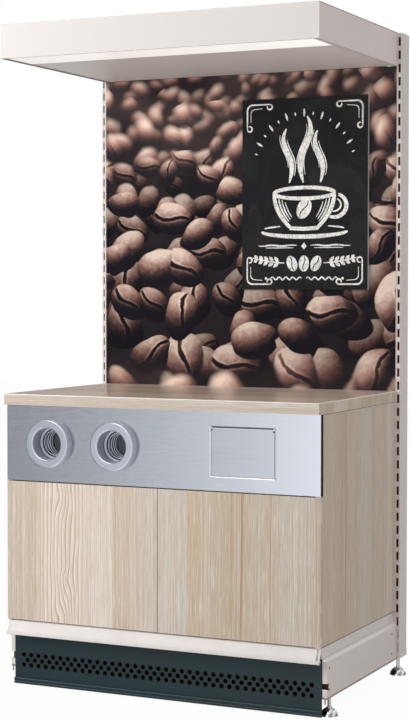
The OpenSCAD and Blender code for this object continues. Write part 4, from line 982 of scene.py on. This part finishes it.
# steam: foot, height, sway, width and phase of each plume
plumes = [(-52, 168, 20, 13, 0.3), (0, 205, 24, 16, 3.4), (52, 160, 19, 13, 0.3)]
for foot, height, sway, wide, phase in plumes:
    plume = [(foot + sway * math.sin(phase + 5.6 * i / 30) * (0.4 + 0.6 * i / 30), 34 + height * i / 30)
             for i in range(31)]
    stroke(plume, wide, 2.5)
    stroke([(a + 12, b + 5) for a, b in plume[3:24]], 2.6, 1.2)
    stroke([(a - 12, b + 3) for a, b in plume[8:27]], 2.2, 1.0)
rays = {"count": 15, "from": 20, "span": 140, "squeeze": 0.92, "middle": 62}
for i in range(rays["count"]):
    angle = math.radians(rays["from"] + rays["span"] * i / (rays["count"] - 1))
    near, far = (176, 200) if i % 2 else (182, 192)
    ray = [(math.cos(angle) * r * rays["squeeze"], rays["middle"] + math.sin(angle) * r)
           for r in (near, (near + far) / 2, far)]
    stroke(ray, 5.5 if i % 2 else 3.5, 2.0)
# the upper right corner's outer line, its two curls and its inner line
cornerLines = [
    ([(116, 280), (150, 280)] + arc(174, 262, 18, 18, 90, 0, 10) + [(192, 228), (192, 205)], 4.4, 3.0),
    (arc(116, 272, 8, 8, 90, 380, 16), 4.0, 2.0),
    (arc(184, 205, 8, 8, 0, -290, 16), 4.0, 2.0),
    ([(140, 268)] + arc(166, 252, 14, 14, 90, 0, 8) + [(180, 226)], 2.4, 1.2),
]
for sign in (-1, 1):
    stroke([(sign * (22 + 132 * i / 12), -160 + 1.5 * math.sin(i)) for i in range(13)], 4.0, 1.4)
    stroke([(sign * (34 + 96 * i / 12), -167) for i in range(13)], 2.2, 1.0)
    sprig = [(sign * (66 + 108 * i / 12), -214 + 16 * (i / 12) ** 1.6) for i in range(13)]
    stroke(sprig, 3.4, 2.0)
    for i in range(2, 12, 2):
        a, b = sprig[i]
        for tilt in (0.75, -0.75):
            leaf(a, b, 27 - i, 5.6, (0.0 if sign > 0 else math.pi) + sign * (tilt + 0.12))
    stroke([(sign * (8 + 110 * i / 24), -262 + 4.5 * math.sin(i * 1.25)) for i in range(25)], 3.8, 2.0)
    fill(arc(sign * 128, -262, 4.2, 4.2, 0, 345, 23))
    for up in (-1, 1):
        for points, width, thin in cornerLines:
            stroke(mirrored(points, sign, up), width, thin)
fill([(0, -151), (-9, -162), (0, -173), (9, -162)])
for a, lean in ((-40, 0.4), (0, 0.0), (40, -0.4)):
    bean(a, -216, 17, 25, lean)
chalkMesh = bpy.data.meshes.new("chalkDrawing")
chalkMesh.from_pydata(chalkVerts, [], chalkFaces)
chalkMesh.materials.append(made["chalkLine"])
chalkObject = show("chalkDrawing", chalkMesh)
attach(chalkObject, "station")

# thin sheets: black ones in the gap above the print panel and behind the vents, both painted shade, and a
# dark brown one behind each leg's notch
soffitLow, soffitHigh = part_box("canopy_soffit")
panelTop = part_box("print_panel")[1].z
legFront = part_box("left_base_leg")[0].y
notch = {"x": (0.4865, 0.5062), "y": (legFront + 0.0124, legFront + 0.0132), "z": (0.0785, 0.0975)}
sheets = {
    "panelSeal": {"x": (-0.468, 0.468), "y": (panelFace + sheetSkin, soffitHigh.y),
                  "z": (panelTop + 0.0001, soffitLow.z - 0.0001), "finish": "blackPlastic"},
    "ventMat": {"x": (-0.4895, 0.4895), "y": (legFront - 0.00016, legFront - 0.00004), "z": (0.046, 0.107),
                "finish": "ventFelt"},
    "rightNotchLiner": {**notch, "finish": "notchBrown"},
    "leftNotchLiner": {**notch, "x": (-notch["x"][1], -notch["x"][0]), "finish": "notchBrown"},
}
boxFaces = [(0, 1, 3, 2), (4, 6, 7, 5), (0, 4, 5, 1), (2, 3, 7, 6), (0, 2, 6, 4), (1, 5, 7, 3)]
for name, spec in sheets.items():
    mesh = bpy.data.meshes.new(name)
    mesh.from_pydata([(x, y, z) for x in spec["x"] for y in spec["y"] for z in spec["z"]], [], boxFaces)
    mesh.materials.append(made[spec["finish"]])
    sheet = show(name, mesh)
    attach(sheet, "station")
print("drawing placed")

# floor and light

stageSpec = {"half": 14.0, "low": -0.0005, "tone": (0.88, 0.87, 0.86), "dark": (0.02, 0.018, 0.017),
             "glow": 0.97, "shade": (-0.44, 0.38, -0.20, 0.22), "soft": 0.08, "depth": 0.50}
white = (1.0, 1.0, 1.0, 1.0)


# a white floor with a soft shade under the part, which mirrors see as the room
def floorMaterial():
    material = bpy.data.materials.new("studioFloor")
    material.use_nodes = True
    tree = material.node_tree
    tree.nodes.clear()
    path = add(tree, "LightPath").outputs
    x, y, _ = split(tree, place(tree))
    left, right, front, back = stageSpec["shade"]
    soft = stageSpec["soft"]
    under = times(tree, between(tree, x, left, right, soft), between(tree, y, front, back, soft))
    under = times(tree, under, stageSpec["depth"])
    shaded = times(tree, under, path["Is Camera Ray"])
    plain = add(tree, "BsdfDiffuse", mix(tree, shaded, stageSpec["tone"], stageSpec["dark"]))
    glance = vec(tree, "MULTIPLY", add(tree, "NewGeometry").outputs["Incoming"], (-1.0, -1.0, -1.0))
    room = times(tree, path["Is Glossy Ray"], use(tree, roomTone, Direction=glance)["Tone"])
    glow = add(tree, "Emission", white, plus(tree, room, minus(tree, 1.0, path["Is Glossy Ray"])))
    seen = calc(tree, "MAXIMUM", path["Is Glossy Ray"], path["Is Transmission Ray"])
    seen = calc(tree, "MAXIMUM", path["Is Camera Ray"], seen)
    glowing = times(tree, seen, times(tree, stageSpec["glow"], minus(tree, 1.0, under)))
    surface = mixShaders(tree, glowing, plain.outputs[0], glow.outputs[0])
    plug(tree, add(tree, "OutputMaterial").inputs[0], surface)
    return material


half = stageSpec["half"]
floorMesh = bpy.data.meshes.new("studioFloor")
corners = [(-half, -half, 0), (half, -half, 0), (half, half, 0), (-half, half, 0)]
floorMesh.from_pydata(corners, [], [(0, 1, 2, 3)])
floorMesh.materials.append(floorMaterial())
floor = show("studioFloor", floorMesh)
floor.location.z = stageSpec["low"]


def background(tree, colour, strength):
    return add(tree, "Background", colour, strength).outputs[0]


# the world: soft air for the light, the room's tone for mirrors, white for the camera
world = bpy.data.worlds.new("studio")
bpy.context.scene.world = world
world.use_nodes = True
tree = world.node_tree
tree.nodes.clear()
path = add(tree, "LightPath").outputs
air = background(tree, (1.0, 0.985, 0.97, 1.0), 0.42)
wallTone = use(tree, roomTone, Direction=add(tree, "TexCoord").outputs["Generated"])["Tone"]
room = background(tree, (1.0, 0.99, 0.98, 1.0), wallTone)
shown = calc(tree, "MAXIMUM", path["Is Camera Ray"], path["Is Transmission Ray"])
surroundings = mixShaders(tree, path["Is Glossy Ray"], air, room)
surface = mixShaders(tree, shown, surroundings, background(tree, white, 1.0))
plug(tree, add(tree, "OutputWorld").inputs[0], surface)

lamps = {
    "keyLamp": {"place": (-2.6, -2.95, 2.1), "aim": (-0.1, 0.0, 1.0), "size": 2.0, "power": 108.0,
                "tint": (1.0, 0.990, 0.975)},
    "sideLamp": {"place": (5.5, -1.2, 2.6), "aim": (0.3, 0.0, 1.0), "size": 2.6, "power": 31.0,
                 "tint": (1.0, 0.935, 0.905)},
    "topLamp": {"place": (0.6, -2.6, 4.0), "aim": (0.0, -0.1, 0.9), "size": 2.0, "power": 15.0,
                "tint": (1.0, 0.985, 0.97)},
}
for name, spec in lamps.items():
    light = bpy.data.lights.new(name, "AREA")
    light.shape = "SQUARE"
    light.size = spec["size"]
    light.energy = spec["power"]
    light.color = spec["tint"]
    obj = show(name, light)
    obj.location = spec["place"]
    obj.rotation_euler = (Vector(spec["aim"]) - Vector(spec["place"])).to_track_quat("-Z", "Y").to_euler()
    obj.visible_glossy = False
print("light set")
